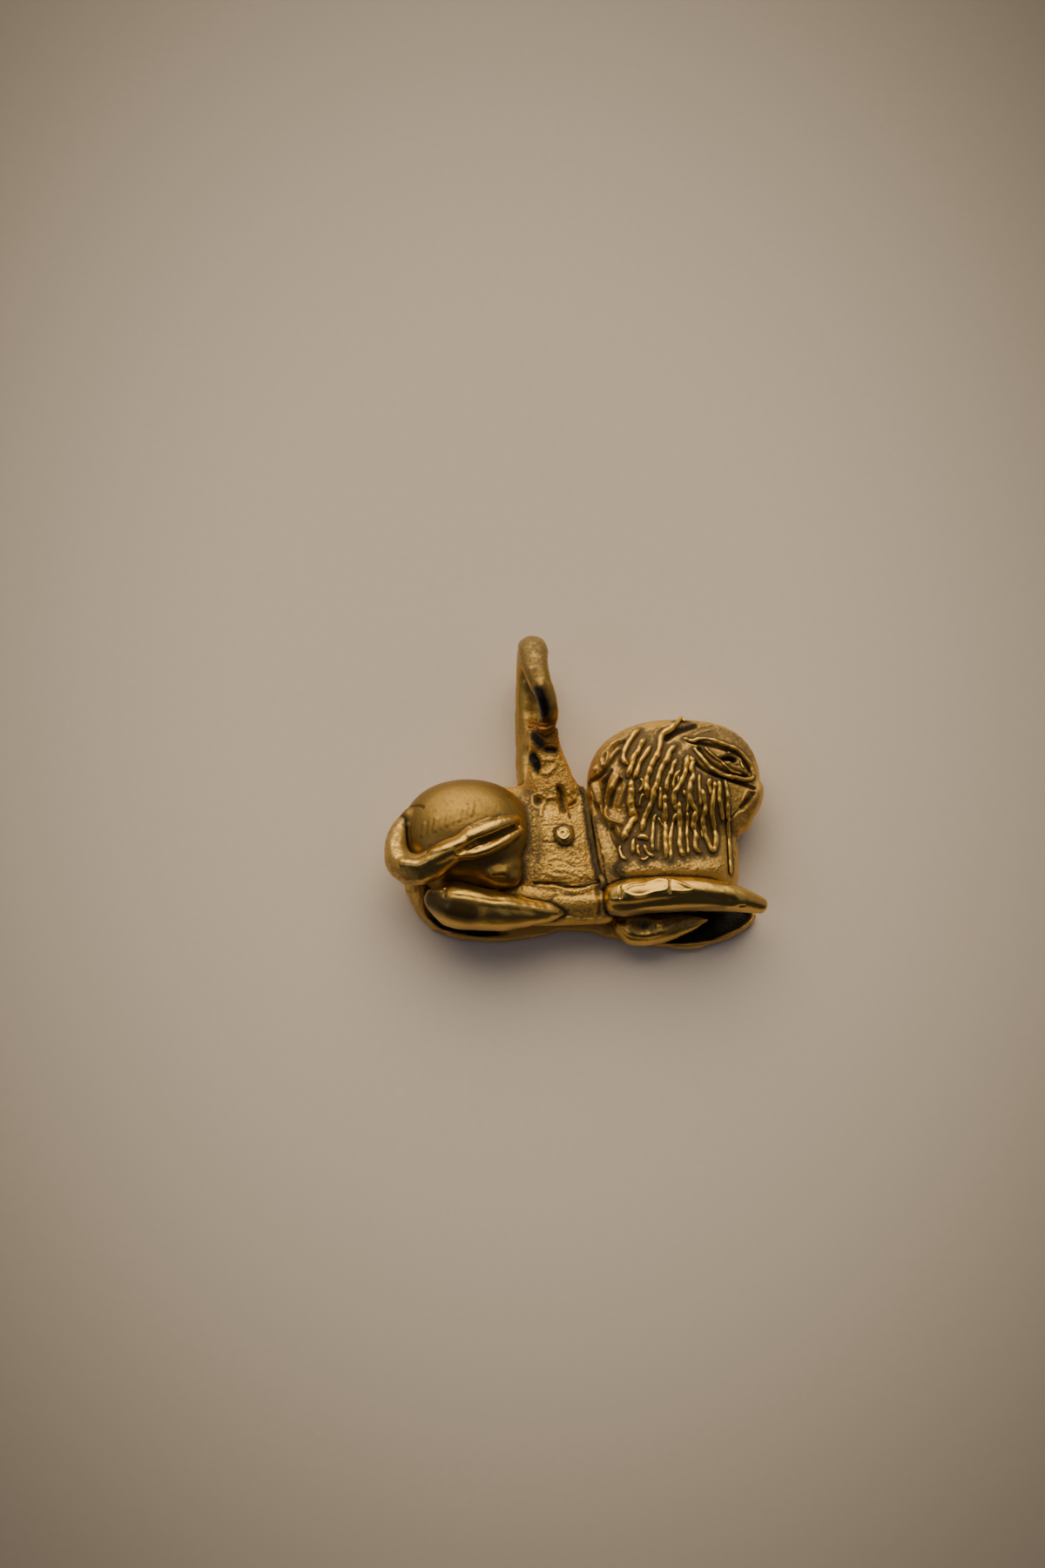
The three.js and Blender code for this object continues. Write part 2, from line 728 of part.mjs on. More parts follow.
const bailFootForm = (grow) =>
  roll({
    path: [
      [bailLegX(1.9), torsoRidge - 1.2, bailMiddle - 1],
      [bailLegX(1.4), torsoRidge + 1.2, bailMiddle - 0.1],
      [bailLegX(1), bridgeY - 1.1, bailMiddle + 0.9],
      [bailLegX(0.95), bridgeY + 0.1, nearStrandZ - 1.9],
    ],
    width: bailFootHalfWidth,
    depth: bailFootHalfDepth,
    across: [1, 0, 0],
    swell: through([1, 0.84, 0.62, 0.5]),
    steps: 9,
    sides: 12,
    grow,
  });
const bailFoot = cut(bailFootForm(0), torsoRoom, haunchRoom, headRoom, bailLoopRoom);
const bridge = cut(
  roll({
    path: [
      [bailLegX(0), bridgeY, farStrandZ],
      [bailLegX(0.6), bridgeY - 0.15, bailMiddle],
      [bailLegX(1), bridgeY, nearStrandZ - 1],
    ],
    width: bridgeRadius,
    across: [1, 0, 0],
    swell: (t) => 0.8 + 0.8 * Math.abs(t - 0.5),
    steps: 8,
    sides: 8,
  }),
  bailLoopRoom,
  bailFootForm(seatGap),
);

add("back_plate", plate, darkBrass);
add("haunch", haunch, brass);
add("knee", knee, brass);
add("torso", torso, brass);
add("belly_roll", belly, brass);
add("side_stud", stud, brass);
add("hind_foot", hindFoot, brass);
add("tail", tail, brass);
add("tail_tuft", tuft, brass);
add("chest", chest, brass);
add("near_foreleg", foreleg, brass);
add("far_foreleg", farForeleg, darkBrass);
add("head", head, brass);
add("muzzle", muzzle, brass);
add("chin", chin, brass);
add("throat_bead", throat, brass);
add("upper_lid", upperLid, brass);
add("lower_lid", lowerLid, brass);
add("eyeball", eyeball, brass);
add("shoulder_flap", flap, brass);
locks.forEach((lock, k) => add(`mane_lock_${String(k + 1).padStart(2, "0")}`, lock, brass));
napeLocks.forEach((lock, k) => add(`nape_lock_${k + 1}`, lock, brass));
add("bail_foot", bailFoot, brass);
add("bail_loop", bailLoop, brass);
add("bail_bridge", bridge, brazing);

export default figure;
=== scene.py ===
"""A recumbent lion pendant in gilt brass, lying on its back plate on a pale table."""

import math

import bpy
import numpy as np
from mathutils import Matrix, Vector
from mathutils.bvhtree import BVHTree


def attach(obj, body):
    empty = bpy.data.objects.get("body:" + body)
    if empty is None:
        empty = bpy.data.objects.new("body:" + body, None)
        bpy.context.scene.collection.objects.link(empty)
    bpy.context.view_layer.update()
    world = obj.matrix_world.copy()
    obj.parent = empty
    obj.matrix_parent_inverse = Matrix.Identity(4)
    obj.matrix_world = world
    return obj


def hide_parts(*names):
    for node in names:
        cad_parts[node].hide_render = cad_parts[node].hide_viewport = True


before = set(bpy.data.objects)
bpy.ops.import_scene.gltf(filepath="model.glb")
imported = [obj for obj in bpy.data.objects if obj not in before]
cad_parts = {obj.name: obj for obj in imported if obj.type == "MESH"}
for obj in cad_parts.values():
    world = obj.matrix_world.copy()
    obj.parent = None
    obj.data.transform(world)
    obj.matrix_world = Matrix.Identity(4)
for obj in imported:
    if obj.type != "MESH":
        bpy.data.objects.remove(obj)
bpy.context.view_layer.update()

# Camera: a 100 mm macro view from the side of the feet, steeply down on the flat relief.
# Places that are written below as (column, row) are in its picture, 1200 wide and 1800 high.
MM = 0.001
VIEW_ELEVATION = math.radians(75)
VIEW_AZIMUTH = math.radians(-20)
VIEW_DISTANCE = 386.4  # mm
VIEW_TARGET = Vector((-4.48, 4.8, 0))  # mm
PICTURE_MIDDLE = (600, 900)
towards = Vector((
    math.cos(VIEW_ELEVATION) * math.sin(VIEW_AZIMUTH),
    -math.cos(VIEW_ELEVATION) * math.cos(VIEW_AZIMUTH),
    math.sin(VIEW_ELEVATION),
))
right = (Vector((1, 0, 0)) - towards * towards.x).normalized()
up = towards.cross(right)
eye = VIEW_TARGET + towards * VIEW_DISTANCE
lens = bpy.data.cameras.new("camera")
lens.lens = 100
lens.sensor_width = 36
lens.clip_start = 0.01
lens.clip_end = 20
focal = lens.lens / lens.sensor_width * 2 * PICTURE_MIDDLE[1]
camera = bpy.data.objects.new("camera", lens)
camera.matrix_world = Matrix((right, up, towards)).transposed().to_4x4()
camera.location = eye * MM
bpy.context.scene.collection.objects.link(camera)
bpy.context.scene.camera = camera

# Table: a sheet of matt pale card, wide enough that no edge shows. The pendant lies loose on it,
# and the card's colour is painted darker away from it, a painted falloff of a close lamp's light.
TABLE_WIDTH = 4  # m
TABLE_DROP = 0.02  # mm, so that the pendant's flat back and the card don't share one plane
bpy.ops.object.select_all(action="DESELECT")
bpy.ops.mesh.primitive_plane_add(size=TABLE_WIDTH, location=(0, 0, -TABLE_DROP * MM))
table = bpy.context.object
table.name = "table"
bpy.ops.object.transform_apply(location=True, rotation=True, scale=True)


def linear(code):
    """An sRGB hex colour as linear RGBA."""
    parts = [int(code[i:i + 2], 16) / 255 for i in (0, 2, 4)]
    return [c / 12.92 if c <= 0.04045 else ((c + 0.055) / 1.055) ** 2.4 for c in parts] + [1]


def node(tree, kind, settings=None, links=None):
    """Adds a node with its settings and the sockets that feed it."""
    made = tree.nodes.new(kind)
    for key, value in (settings or {}).items():
        if isinstance(key, str) and key in made.bl_rna.properties:
            setattr(made, key, value)
        else:
            made.inputs[key].default_value = value
    for key, socket in (links or {}).items():
        tree.links.new(socket, made.inputs[key])
    return made


# Matt card: uncoated paper board, so it gives the eye an even tone with no shine and a faint nap, under a
# painted light falloff that darkens it away from the middle.
GLOW_MIDDLE = (-4.5, 16, 0)  # mm, the middle of the painted pool of light, where the card is brightest
GLOW_NARROWER = 1.35  # how much faster the light falls off sideways than up and down
GLOW_WHOLE = 28  # mm from its middle, where the light starts to fall off
GLOW_GONE = 112  # mm from its middle, where it has fallen off
GLOW_LEFT = 0.24  # how much of the tone is left there
FIBRE_WIDTH = 0.7  # mm
NAP_DEPTH = 0.02  # mm
card = bpy.data.materials.new("matt_card")
card.use_nodes = True
tree = card.node_tree
bsdf = tree.nodes["Principled BSDF"]
bsdf.inputs["Roughness"].default_value = 0.9
spot = node(tree, "ShaderNodeTexCoord").outputs["Object"]
away = node(
    tree, "ShaderNodeVectorMath", {"operation": "SUBTRACT", 1: Vector(GLOW_MIDDLE) * MM},
    {0: spot},
)
away = node(
    tree, "ShaderNodeVectorMath", {"operation": "MULTIPLY", 1: (GLOW_NARROWER, 1, 0)},
    {0: away.outputs[0]},
)
away = node(tree, "ShaderNodeVectorMath", {"operation": "LENGTH"}, {0: away.outputs[0]})
painted_light_falloff = node(
    tree, "ShaderNodeMapRange",
    {
        "interpolation_type": "SMOOTHSTEP", "To Min": 1.0, "To Max": GLOW_LEFT,
        "From Min": GLOW_WHOLE * MM, "From Max": GLOW_GONE * MM,
    },
    {"Value": away.outputs["Value"]},
)
fibre = node(
    tree, "ShaderNodeTexNoise", {"Scale": 1 / (FIBRE_WIDTH * MM), "Detail": 3}, {"Vector": spot}
)
paper = node(
    tree, "ShaderNodeMix", {"data_type": "RGBA", 6: linear("E8DCD3"), 7: linear("E2D5CB")},
    {0: fibre.outputs["Fac"]},
)
painted_falloff_paper = node(
    tree, "ShaderNodeVectorMath", {"operation": "SCALE"},
    {0: paper.outputs[2], "Scale": painted_light_falloff.outputs[0]},
)
tree.links.new(painted_falloff_paper.outputs[0], bsdf.inputs["Base Color"])
nap = node(
    tree, "ShaderNodeBump", {"Strength": 0.5, "Distance": NAP_DEPTH * MM},
    {"Height": fibre.outputs["Fac"]},
)
tree.links.new(nap.outputs[0], bsdf.inputs["Normal"])
table.data.materials.append(card)

# Light: a large warm softbox beyond the table, pale walls on both sides, a dark room in front of
# the table, and the dark of the one who leans over it, which the polished rolls mirror.
SOFTBOX_AIM = Vector((-0.12, 0.77, 0.63)).normalized()
SOFTBOX_CORE = math.radians(18)  # within this of its aim it is evenly bright
SOFTBOX_EDGE = math.radians(47)  # past this nothing of it is left
SOFTBOX_GLOW = 2.75
LEANER_CORE = math.radians(17)  # within this of the view the shade is full
LEANER_EDGE = math.radians(36)  # past this there is none
LEANER_SHADE = 0.27  # how much of the light is left in it
ROOM_LOW = -0.45  # how far down the picture the room turns dark, as the sine of an angle
ROOM_HIGH = 0.1  # how far up it is all pale wall
ROOM_DARK = 0.07
ROOM_PALE = 0.37
SHADE_ENDS = 0.4  # brightness from which the light has no more of the shade's blue
SHADE_BLUE = "8AA0D2"
WALL_WHITE = "E6DCCE"
SOFTBOX_WARM = "FFECC6"
world = bpy.data.worlds.new("room")
world.use_nodes = True
tree = world.node_tree
sky = node(tree, "ShaderNodeTexCoord").outputs["Generated"]
lights = []
for way, low, high, at_low, at_high in (
    (SOFTBOX_AIM, math.cos(SOFTBOX_EDGE), math.cos(SOFTBOX_CORE), 0.0, 1.0),
    (up, ROOM_LOW, ROOM_HIGH, ROOM_DARK, ROOM_PALE),
    (towards, math.cos(LEANER_EDGE), math.cos(LEANER_CORE), 1.0, LEANER_SHADE),
):
    facing = node(tree, "ShaderNodeVectorMath", {"operation": "DOT_PRODUCT", 1: way}, {0: sky})
    step = node(
        tree, "ShaderNodeMapRange",
        {
            "interpolation_type": "SMOOTHSTEP", "From Min": low, "From Max": high,
            "To Min": at_low, "To Max": at_high,
        },
        {"Value": facing.outputs["Value"]},
    )
    lights.append(step.outputs[0])
softbox, room, leaner = lights
glow = node(
    tree, "ShaderNodeMath", {"operation": "MULTIPLY_ADD", 1: SOFTBOX_GLOW},
    {0: softbox, 2: room},
)
glow = node(tree, "ShaderNodeMath", {"operation": "MULTIPLY"}, {0: glow.outputs[0], 1: leaner})
brightness = node(tree, "ShaderNodeMapRange", {"From Max": SHADE_ENDS}, {"Value": glow.outputs[0]})
tint = node(
    tree, "ShaderNodeMix", {"data_type": "RGBA", 6: linear(SHADE_BLUE), 7: linear(WALL_WHITE)},
    {0: brightness.outputs[0]},
)
tint = node(
    tree, "ShaderNodeMix", {"data_type": "RGBA", 7: linear(SOFTBOX_WARM)},
    {0: softbox, 6: tint.outputs[2]},
)
backdrop = tree.nodes["Background"]
tree.links.new(tint.outputs[2], backdrop.inputs["Color"])
tree.links.new(glow.outputs[0], backdrop.inputs["Strength"])
bpy.context.scene.world = world

# Glint lamp: a small round lamp of cold white light, on a stand to the left of the camera. It
# gives the rolls their few cold glints.
LAMP_PLACE = (-0.42, -0.16, 0.42)  # m
glint = bpy.data.lights.new("glint_lamp", "AREA")
glint.shape = "DISK"
glint.size = 0.09  # m
glint.energy = 0.12  # W
glint.color = linear("EAF0FF")[:3]
lamp = bpy.data.objects.new("glint_lamp", glint)
lamp.location = LAMP_PLACE
lamp.rotation_euler = lamp.location.to_track_quat("Z", "Y").to_euler()
bpy.context.scene.collection.objects.link(lamp)

# Haunch: the domed thigh with the swelling of the knee below it, cast in one skin of brass. Its
# crown is planished, and a crevice parts it from the tail's root. Like every member it is shaped in
# wax: a soft skin round its CAD solid, worked with strokes that are drawn in the picture.


def change(piece, kind, **settings):
    """Applies one modifier."""
    bpy.ops.object.select_all(action="DESELECT")
    piece.select_set(True)
    bpy.context.view_layer.objects.active = piece
    modifier = piece.modifiers.new(kind.lower(), kind)
    for setting, value in settings.items():
        setattr(modifier, setting, value)
    bpy.ops.object.modifier_apply(modifier=modifier.name)


def soften(piece, grain, softening, swell=0.1, levels=2):
    """Fuses what a piece is built of into one smooth closed skin, as wax does when it is warmed."""
    change(piece, "DISPLACE", strength=swell, mid_level=0)
    change(piece, "REMESH", mode="VOXEL", voxel_size=grain)
    change(piece, "SMOOTH", factor=0.5, iterations=softening)
    change(piece, "DISPLACE", strength=-swell * 0.5, mid_level=0)
    change(piece, "SUBSURF", levels=levels, render_levels=levels)
    return piece


def wax(name, *members, grain=0.36, softening=4, levels=2):
    """A soft skin round copies of CAD members, in millimetres until it is cast."""
    bpy.ops.object.select_all(action="DESELECT")
    for member in members:
        copy = bpy.data.objects.new(name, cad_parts[member].data.copy())
        bpy.context.scene.collection.objects.link(copy)
        copy.select_set(True)
        bpy.context.view_layer.objects.active = copy
    bpy.ops.object.join()
    piece = bpy.context.object
    piece.data.materials.clear()
    piece.data.transform(Matrix.Scale(1 / MM, 4))
    bpy.ops.object.mode_set(mode="EDIT")
    bpy.ops.mesh.select_all(action="SELECT")
    bpy.ops.mesh.remove_doubles(threshold=0.001)
    bpy.ops.object.mode_set(mode="OBJECT")
    return soften(piece, grain, softening, levels=levels)


def points_of(piece):
    """The places and normals of a skin's points."""
    places = np.empty(len(piece.data.vertices) * 3, np.float32)
    normals = np.empty(len(piece.data.vertices) * 3, np.float32)
    piece.data.vertices.foreach_get("co", places)
    piece.data.vertices.foreach_get("normal", normals)
    return places.reshape(-1, 3).astype(float), normals.reshape(-1, 3).astype(float)


def move_points(piece, places):
    """Moves a skin's points to new places."""
    piece.data.vertices.foreach_set("co", places.astype(np.float32).ravel())
    piece.data.update()
    return piece


def curved(course, step=0.8):
    """A smooth line through given places, with a point about every step."""
    knots = np.array(course, float)
    if len(knots) < 2:
        return knots
    padded = np.vstack([2 * knots[0] - knots[1], knots, 2 * knots[-1] - knots[-2]])
    line = []
    for a, b, c, d in zip(padded, padded[1:], padded[2:], padded[3:]):
        count = max(1, round(np.linalg.norm(c - b) / step))
        for t in np.arange(count)[:, None] / count:
            line.append((2 * b + (c - a) * t + (2 * a - 5 * b + 4 * c - d) * t ** 2
                         + (3 * b - a - 3 * c + d) * t ** 3) / 2)
    return np.vstack(line + [knots[-1]])


def laid_on(skin, course):
    """A line drawn in the picture, laid on a skin: its places and the skin's normals there."""
    spots = []
    for column, row in curved(course):
        ray = right * (column - PICTURE_MIDDLE[0]) + up * (PICTURE_MIDDLE[1] - row) - towards * focal
        place, normal, _, _ = skin.ray_cast(eye, ray.normalized())
        if place is not None:
            spots.append((*place, *normal))
    spots = np.array(spots).reshape(-1, 6)
    return spots[:, :3], spots[:, 3:]


def nearness(places, line, reach):
    """How near each place lies to a line: 1 on it, and 0 past its reach."""
    near = np.zeros(len(places))
    if not len(line):
        return near
    low, high = line.min(0) - reach, line.max(0) + reach
    inside = np.flatnonzero(np.all((places > low) & (places < high), axis=1))
    for part in np.array_split(inside, max(1, len(inside) // 4000)):  # which saves memory
        away = np.linalg.norm(places[part, None] - line[None], axis=2).min(1)
        near[part] = np.clip(1 - away / reach, 0, 1)
    return near


def chase(piece, marks):
    """Works a skin with raised (+) and sunk (-) strokes.

    Each is its course in the picture, its half width in mm and its height in mm.
    """
    places, normals = points_of(piece)
    skin = BVHTree.FromObject(piece, bpy.context.evaluated_depsgraph_get())
    rise = np.zeros(len(places))
    fall = np.zeros(len(places))
    for course, reach, height in marks:
        near = nearness(places, laid_on(skin, course)[0], reach)
        shape = near * near * (3 - 2 * near) * height
        if height > 0:
            rise = np.maximum(rise, shape)
        else:
            fall = np.minimum(fall, shape)
    return move_points(piece, places + normals * (rise + fall)[:, None])


STAIN_EDGE = 1.6  # a stain is whole on the inner part of its reach, and fades over the rest


def layer_of(piece, name):
    """A layer of colour as it stands on each of a skin's points, or none as yet."""
    values = np.zeros(len(piece.data.vertices), np.float32)
    if name in piece.data.attributes:
        piece.data.attributes[name].data.foreach_get("value", values)
    return values


def set_layer(piece, name, values):
    """Gives a skin a layer of colour, whose strength the metal's nodes read by its name."""
    if name not in piece.data.attributes:
        piece.data.attributes.new(name, "FLOAT", "POINT")
    piece.data.attributes[name].data.foreach_set("value", values.astype(np.float32))


def stain(piece, name, marks):
    """Colours a skin along strokes: course in the picture, half width in mm and strength each."""
    places, _ = points_of(piece)
    skin = BVHTree.FromObject(piece, bpy.context.evaluated_depsgraph_get())
    tint = layer_of(piece, name)
    for course, reach, strength in marks:
        near = nearness(places, laid_on(skin, course)[0], reach)
        tint = np.maximum(tint, strength * np.clip(near * STAIN_EDGE, 0, 1))
    set_layer(piece, name, tint)


def peppered(outline, count, reach, height, seed):
    """Small bumps or pits of uneven size, at random places inside an outline in the picture."""
    dice = np.random.default_rng(seed)
    edge = np.array(outline, float)
    low, high = edge.min(0), edge.max(0)
    marks = []
    while len(marks) < count:
        spot = dice.uniform(low, high)
        size = dice.uniform(0.6, 1.3)
        crossed = False
        for a, b in zip(edge, np.roll(edge, -1, axis=0)):
            if (a[1] > spot[1]) != (b[1] > spot[1]):
                if spot[0] < a[0] + (spot[1] - a[1]) / (b[1] - a[1]) * (b[0] - a[0]):
                    crossed = not crossed
        if crossed:
            marks.append(([tuple(spot)], reach * size, height * size * dice.uniform(0.5, 1)))
    return marks


castings = []  # each finished piece, with how far the antiquing creeps on it
CREEP = 0.55  # mm, how far the brown of the antiquing creeps out of a joint


def cast(piece, metal, *replaced, slot="polished_brass", creep=CREEP):
    """Shrinks a finished skin to life size, gives it its metal and fixes it to the figure."""
    piece.data.transform(Matrix.Scale(MM, 4))
    piece.data.materials.append(metal)
    for face in piece.data.polygons:
        face.use_smooth = True
    castings.append((piece, creep))
    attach(piece, "root")
    if replaced:
        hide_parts(*replaced)
    return piece


WAVES = 14  # so many soft waves crossing one another look like nobody's pattern


def dented(piece, wave, depth, seed, along=None, reach=2.0):
    """Uneven as hand-formed wax is: soft dents about a wave apart, in mm, all over or along a line."""
    places, normals = points_of(piece)
    dice = np.random.default_rng(seed)
    aims = dice.normal(size=(WAVES, 3))
    aims /= np.linalg.norm(aims, axis=1)[:, None]
    lengths = wave * dice.uniform(0.7, 1.7, WAVES)
    phases = dice.uniform(0, 2 * math.pi, WAVES)
    swell = np.sin(places @ (aims * (2 * math.pi / lengths)[:, None]).T + phases).sum(1)
    swell /= WAVES ** 0.5
    if along:
        skin = BVHTree.FromObject(piece, bpy.context.evaluated_depsgraph_get())
        swell *= np.clip(nearness(places, laid_on(skin, along)[0], reach) * 2, 0, 1)
    return move_points(piece, places + normals * (swell * depth)[:, None])


CLOUD_WIDTH = 2.4  # mm, from one paler patch of the gilding to the next
FILM_SHINE = 0.35  # the brown film and the soot are duller than a lacquer
# The brown and the black stand for antiquing, brazing soot and dark joints, and also for painted shade and
# painted dark reflections.
ANTIQUE_AND_SHADE_BROWN = "685639"
FLUX_BROWN = "845218"  # glassy brown that brazing leaves
SOOT_AND_SHADE_BLACK = "160E08"
FLUX_DULLS = 0.45  # how much of the metal's shine a whole layer of flux takes
SOOT_AND_SHADE_DULLS = 0.85
SPECKLE = 0.9  # how unevenly the open metal holds its brown
RUBBED_CLEAN = 0.1  # brown below this is all rubbed off
BROWN_WHOLE = 0.8
BROWN_HIDES = 0.92  # how much of the metal the whole brown hides
BROWN_ROUGHER = 0.3
CLOUD_ROUGHER = 0.12
CLOUD_MEAN = 0.05  # about what the clouds add, taken off the roughness beforehand


def gilt_brass(name, pale, deep, roughness, grain, pitting, cover):
    """Cast and gilded brass, bright where it is rubbed and matt brown where the antiquing stays, with
    painted shade laid in its brown and black layers.

    pale and deep are the ends of its cloudy tone, grain is the width of the casting's skin
    texture in mm, pitting its depth in mm, and cover how much brown is left on the open metal.
    """
    metal = bpy.data.materials.new(name)
    metal.use_nodes = True
    tree = metal.node_tree
    bsdf = tree.nodes["Principled BSDF"]
    bsdf.inputs["Specular IOR Level"].default_value = FILM_SHINE
    where = node(tree, "ShaderNodeTexCoord").outputs["Object"]
    recess_and_painted_shade, soot_and_painted_shade, flux = (
        node(tree, "ShaderNodeAttribute", {"attribute_name": layer}).outputs["Fac"]
        for layer in ("recess_and_painted_shade", "soot_and_painted_shade", "flux")
    )
    cloud, speck = (
        node(
            tree, "ShaderNodeTexNoise", {"Scale": 1 / (width * MM), "Detail": 4}, {"Vector": where}
        ).outputs["Fac"]
        for width in (CLOUD_WIDTH, grain)
    )
    tone = node(
        tree, "ShaderNodeMix", {"data_type": "RGBA", 6: linear(pale), 7: linear(deep)}, {0: cloud}
    )
    brown_and_shade = node(
        tree, "ShaderNodeMath", {"operation": "MULTIPLY_ADD", 1: SPECKLE, 2: cover - SPECKLE / 2},
        {0: speck},
    )
    brown_and_shade = node(
        tree, "ShaderNodeMath", {"operation": "ADD", "use_clamp": True},
        {0: recess_and_painted_shade, 1: brown_and_shade.outputs[0]},
    )
    brown_and_shade = node(
        tree, "ShaderNodeMapRange",
        {
            "interpolation_type": "SMOOTHSTEP", "To Max": BROWN_HIDES,
            "From Min": RUBBED_CLEAN, "From Max": BROWN_WHOLE,
        },
        {"Value": brown_and_shade.outputs[0]},
    )
    for colour, amount in (
        (ANTIQUE_AND_SHADE_BROWN, brown_and_shade.outputs[0]), (FLUX_BROWN, flux), (SOOT_AND_SHADE_BLACK, soot_and_painted_shade)
    ):
        tone = node(
            tree, "ShaderNodeMix", {"data_type": "RGBA", 7: linear(colour)},
            {0: amount, 6: tone.outputs[2]},
        )
    tree.links.new(tone.outputs[2], bsdf.inputs["Base Color"])
    bare = node(
        tree, "ShaderNodeMath", {"operation": "MULTIPLY_ADD", 1: -1.0, 2: 1.0}, {0: brown_and_shade.outputs[0]}
    )
    for layer, dulling in ((flux, FLUX_DULLS), (soot_and_painted_shade, SOOT_AND_SHADE_DULLS)):
        left = node(
            tree, "ShaderNodeMath", {"operation": "MULTIPLY_ADD", 1: -dulling, 2: 1.0},
            {0: layer},
        )
        bare = node(
            tree, "ShaderNodeMath", {"operation": "MULTIPLY", "use_clamp": True},
            {0: bare.outputs[0], 1: left.outputs[0]},
        )
    tree.links.new(bare.outputs[0], bsdf.inputs["Metallic"])
    dull = node(
        tree, "ShaderNodeMath",
        {"operation": "MULTIPLY_ADD", 1: BROWN_ROUGHER, 2: roughness - CLOUD_MEAN},
        {0: brown_and_shade.outputs[0]},
    )
    dull = node(
        tree, "ShaderNodeMath", {"operation": "MULTIPLY_ADD", 1: CLOUD_ROUGHER},
        {0: cloud, 2: dull.outputs[0]},
    )
    tree.links.new(dull.outputs[0], bsdf.inputs["Roughness"])
    bump = node(
        tree, "ShaderNodeBump", {"Strength": 1.0, "Distance": pitting * MM}, {"Height": speck}
    )
    tree.links.new(bump.outputs[0], bsdf.inputs["Normal"])
    return metal


# Planished brass: smoothed with a flat hammer, so it gives the eye a broad dull sheen; its olive brown is a
# darker copy of the gold, as painted shade.
planished_and_shaded = gilt_brass(
    "planished_gilt_brass_painted_shade", "A8884A", "8E723E", roughness=0.42, grain=0.3, pitting=0.02, cover=0.16
)

haunch = wax("haunch", "haunch", "knee", softening=14)
CREVICE = [(455, 951), (455, 960), (457, 969), (463, 976)]
chase(haunch, [
    # the crevice, two bumps of the rump beside it and a nick above
    (CREVICE, 0.9, -0.9),
    ([(460, 944), (467, 936)], 1.1, 0.45),
    ([(468, 947)], 0.45, 0.2),
    ([(471, 926), (480, 925), (486, 927)], 0.18, -0.2),
    # the knee's two bumps with a dip between them, and the fullness above the hind foot
    ([(566, 1002), (573, 1001), (579, 1001)], 0.9, 0.5),
    ([(604, 978), (605, 988), (602, 996)], 1.2, 0.55),
    ([(592, 1000), (601, 1000)], 0.7, -0.15),
    ([(505, 1020), (545, 1018), (585, 1012)], 2.2, 0.45),
] + [  # hammer marks down the front of the crown
    ([(485 + 7 * k, 959 - 3 * k), (487 + 7 * k, 946 - 2.8 * k)], 0.3, height)
    for k, height in enumerate((0.05, 0.03, 0.05, 0.03, 0.045, 0.02, 0.04, 0.03, 0.045))
])
dented(haunch, 5, 0.03, 1)
dented(haunch, 1.1, 0.008, 41, [(490, 950), (520, 940), (550, 928)], 1.6)
# the crevice is painted black as painted shade
stain(haunch, "soot_and_painted_shade", [(CREVICE, 0.7, 0.9)])
stain(haunch, "flux", [([(588, 906), (600, 925), (608, 945), (609, 955)], 0.7, 0.35)])
# the crown and the left side are painted brown as painted shade
stain(haunch, "patina_and_painted_shade", [
    ([(482, 910), (505, 895), (530, 886), (560, 884), (586, 896)], 3.2, 0.66),
    ([(482, 935), (480, 955)], 1.0, 0.2),
])
cast(haunch, planished_and_shaded, "haunch", "knee")

# Body: the barrel, the roll that closes it below and the flared foot of the bail on its ridge,
# cast as one in brass. It was only blasted clean, so it keeps the shrinkage pits near the bail,
# where the brazing heat drew it, and the file lines across it.

# Sandblasted brass: gilded as the blasting left it, so it gives the eye a pale glitter of fine grain.
sandy = gilt_brass(
    "sandblasted_gilt_brass", "F4CA70", "D6A856", roughness=0.48, grain=0.22, pitting=0.15, cover=0.06
)

torso = wax("body", "torso", "belly_roll", "bail_foot", softening=3)
LONG_PIT = [(643, 906), (646, 914), (646, 922), (648, 929)]
BELLY_LINE = [(614, 1014), (640, 1015), (660, 1017), (684, 1014)]
BLACK_PITS = [
    ([(618, 920)], 0.5, -0.35),
    ([(652, 924), (657, 922), (661, 920)], 0.3, -0.35),
    ([(652, 929), (655, 938)], 0.2, -0.3),
]
FLANK = [(603, 915), (612, 912), (616, 940), (618, 975), (616, 1010), (606, 1005), (611, 960)]
LOWER = [(622, 985), (655, 975), (672, 985), (683, 1010), (640, 1014), (618, 1008)]
chase(torso, [
    # the broad swells: the flank's lower edge, the belly and the back's ridge
    ([(614, 1014), (650, 1013), (686, 1014)], 3.0, 0.9),
    ([(640, 1034), (662, 1035), (688, 1033)], 1.3, 0.55),
    ([(620, 905), (650, 903), (668, 908)], 1.6, 0.25),
])
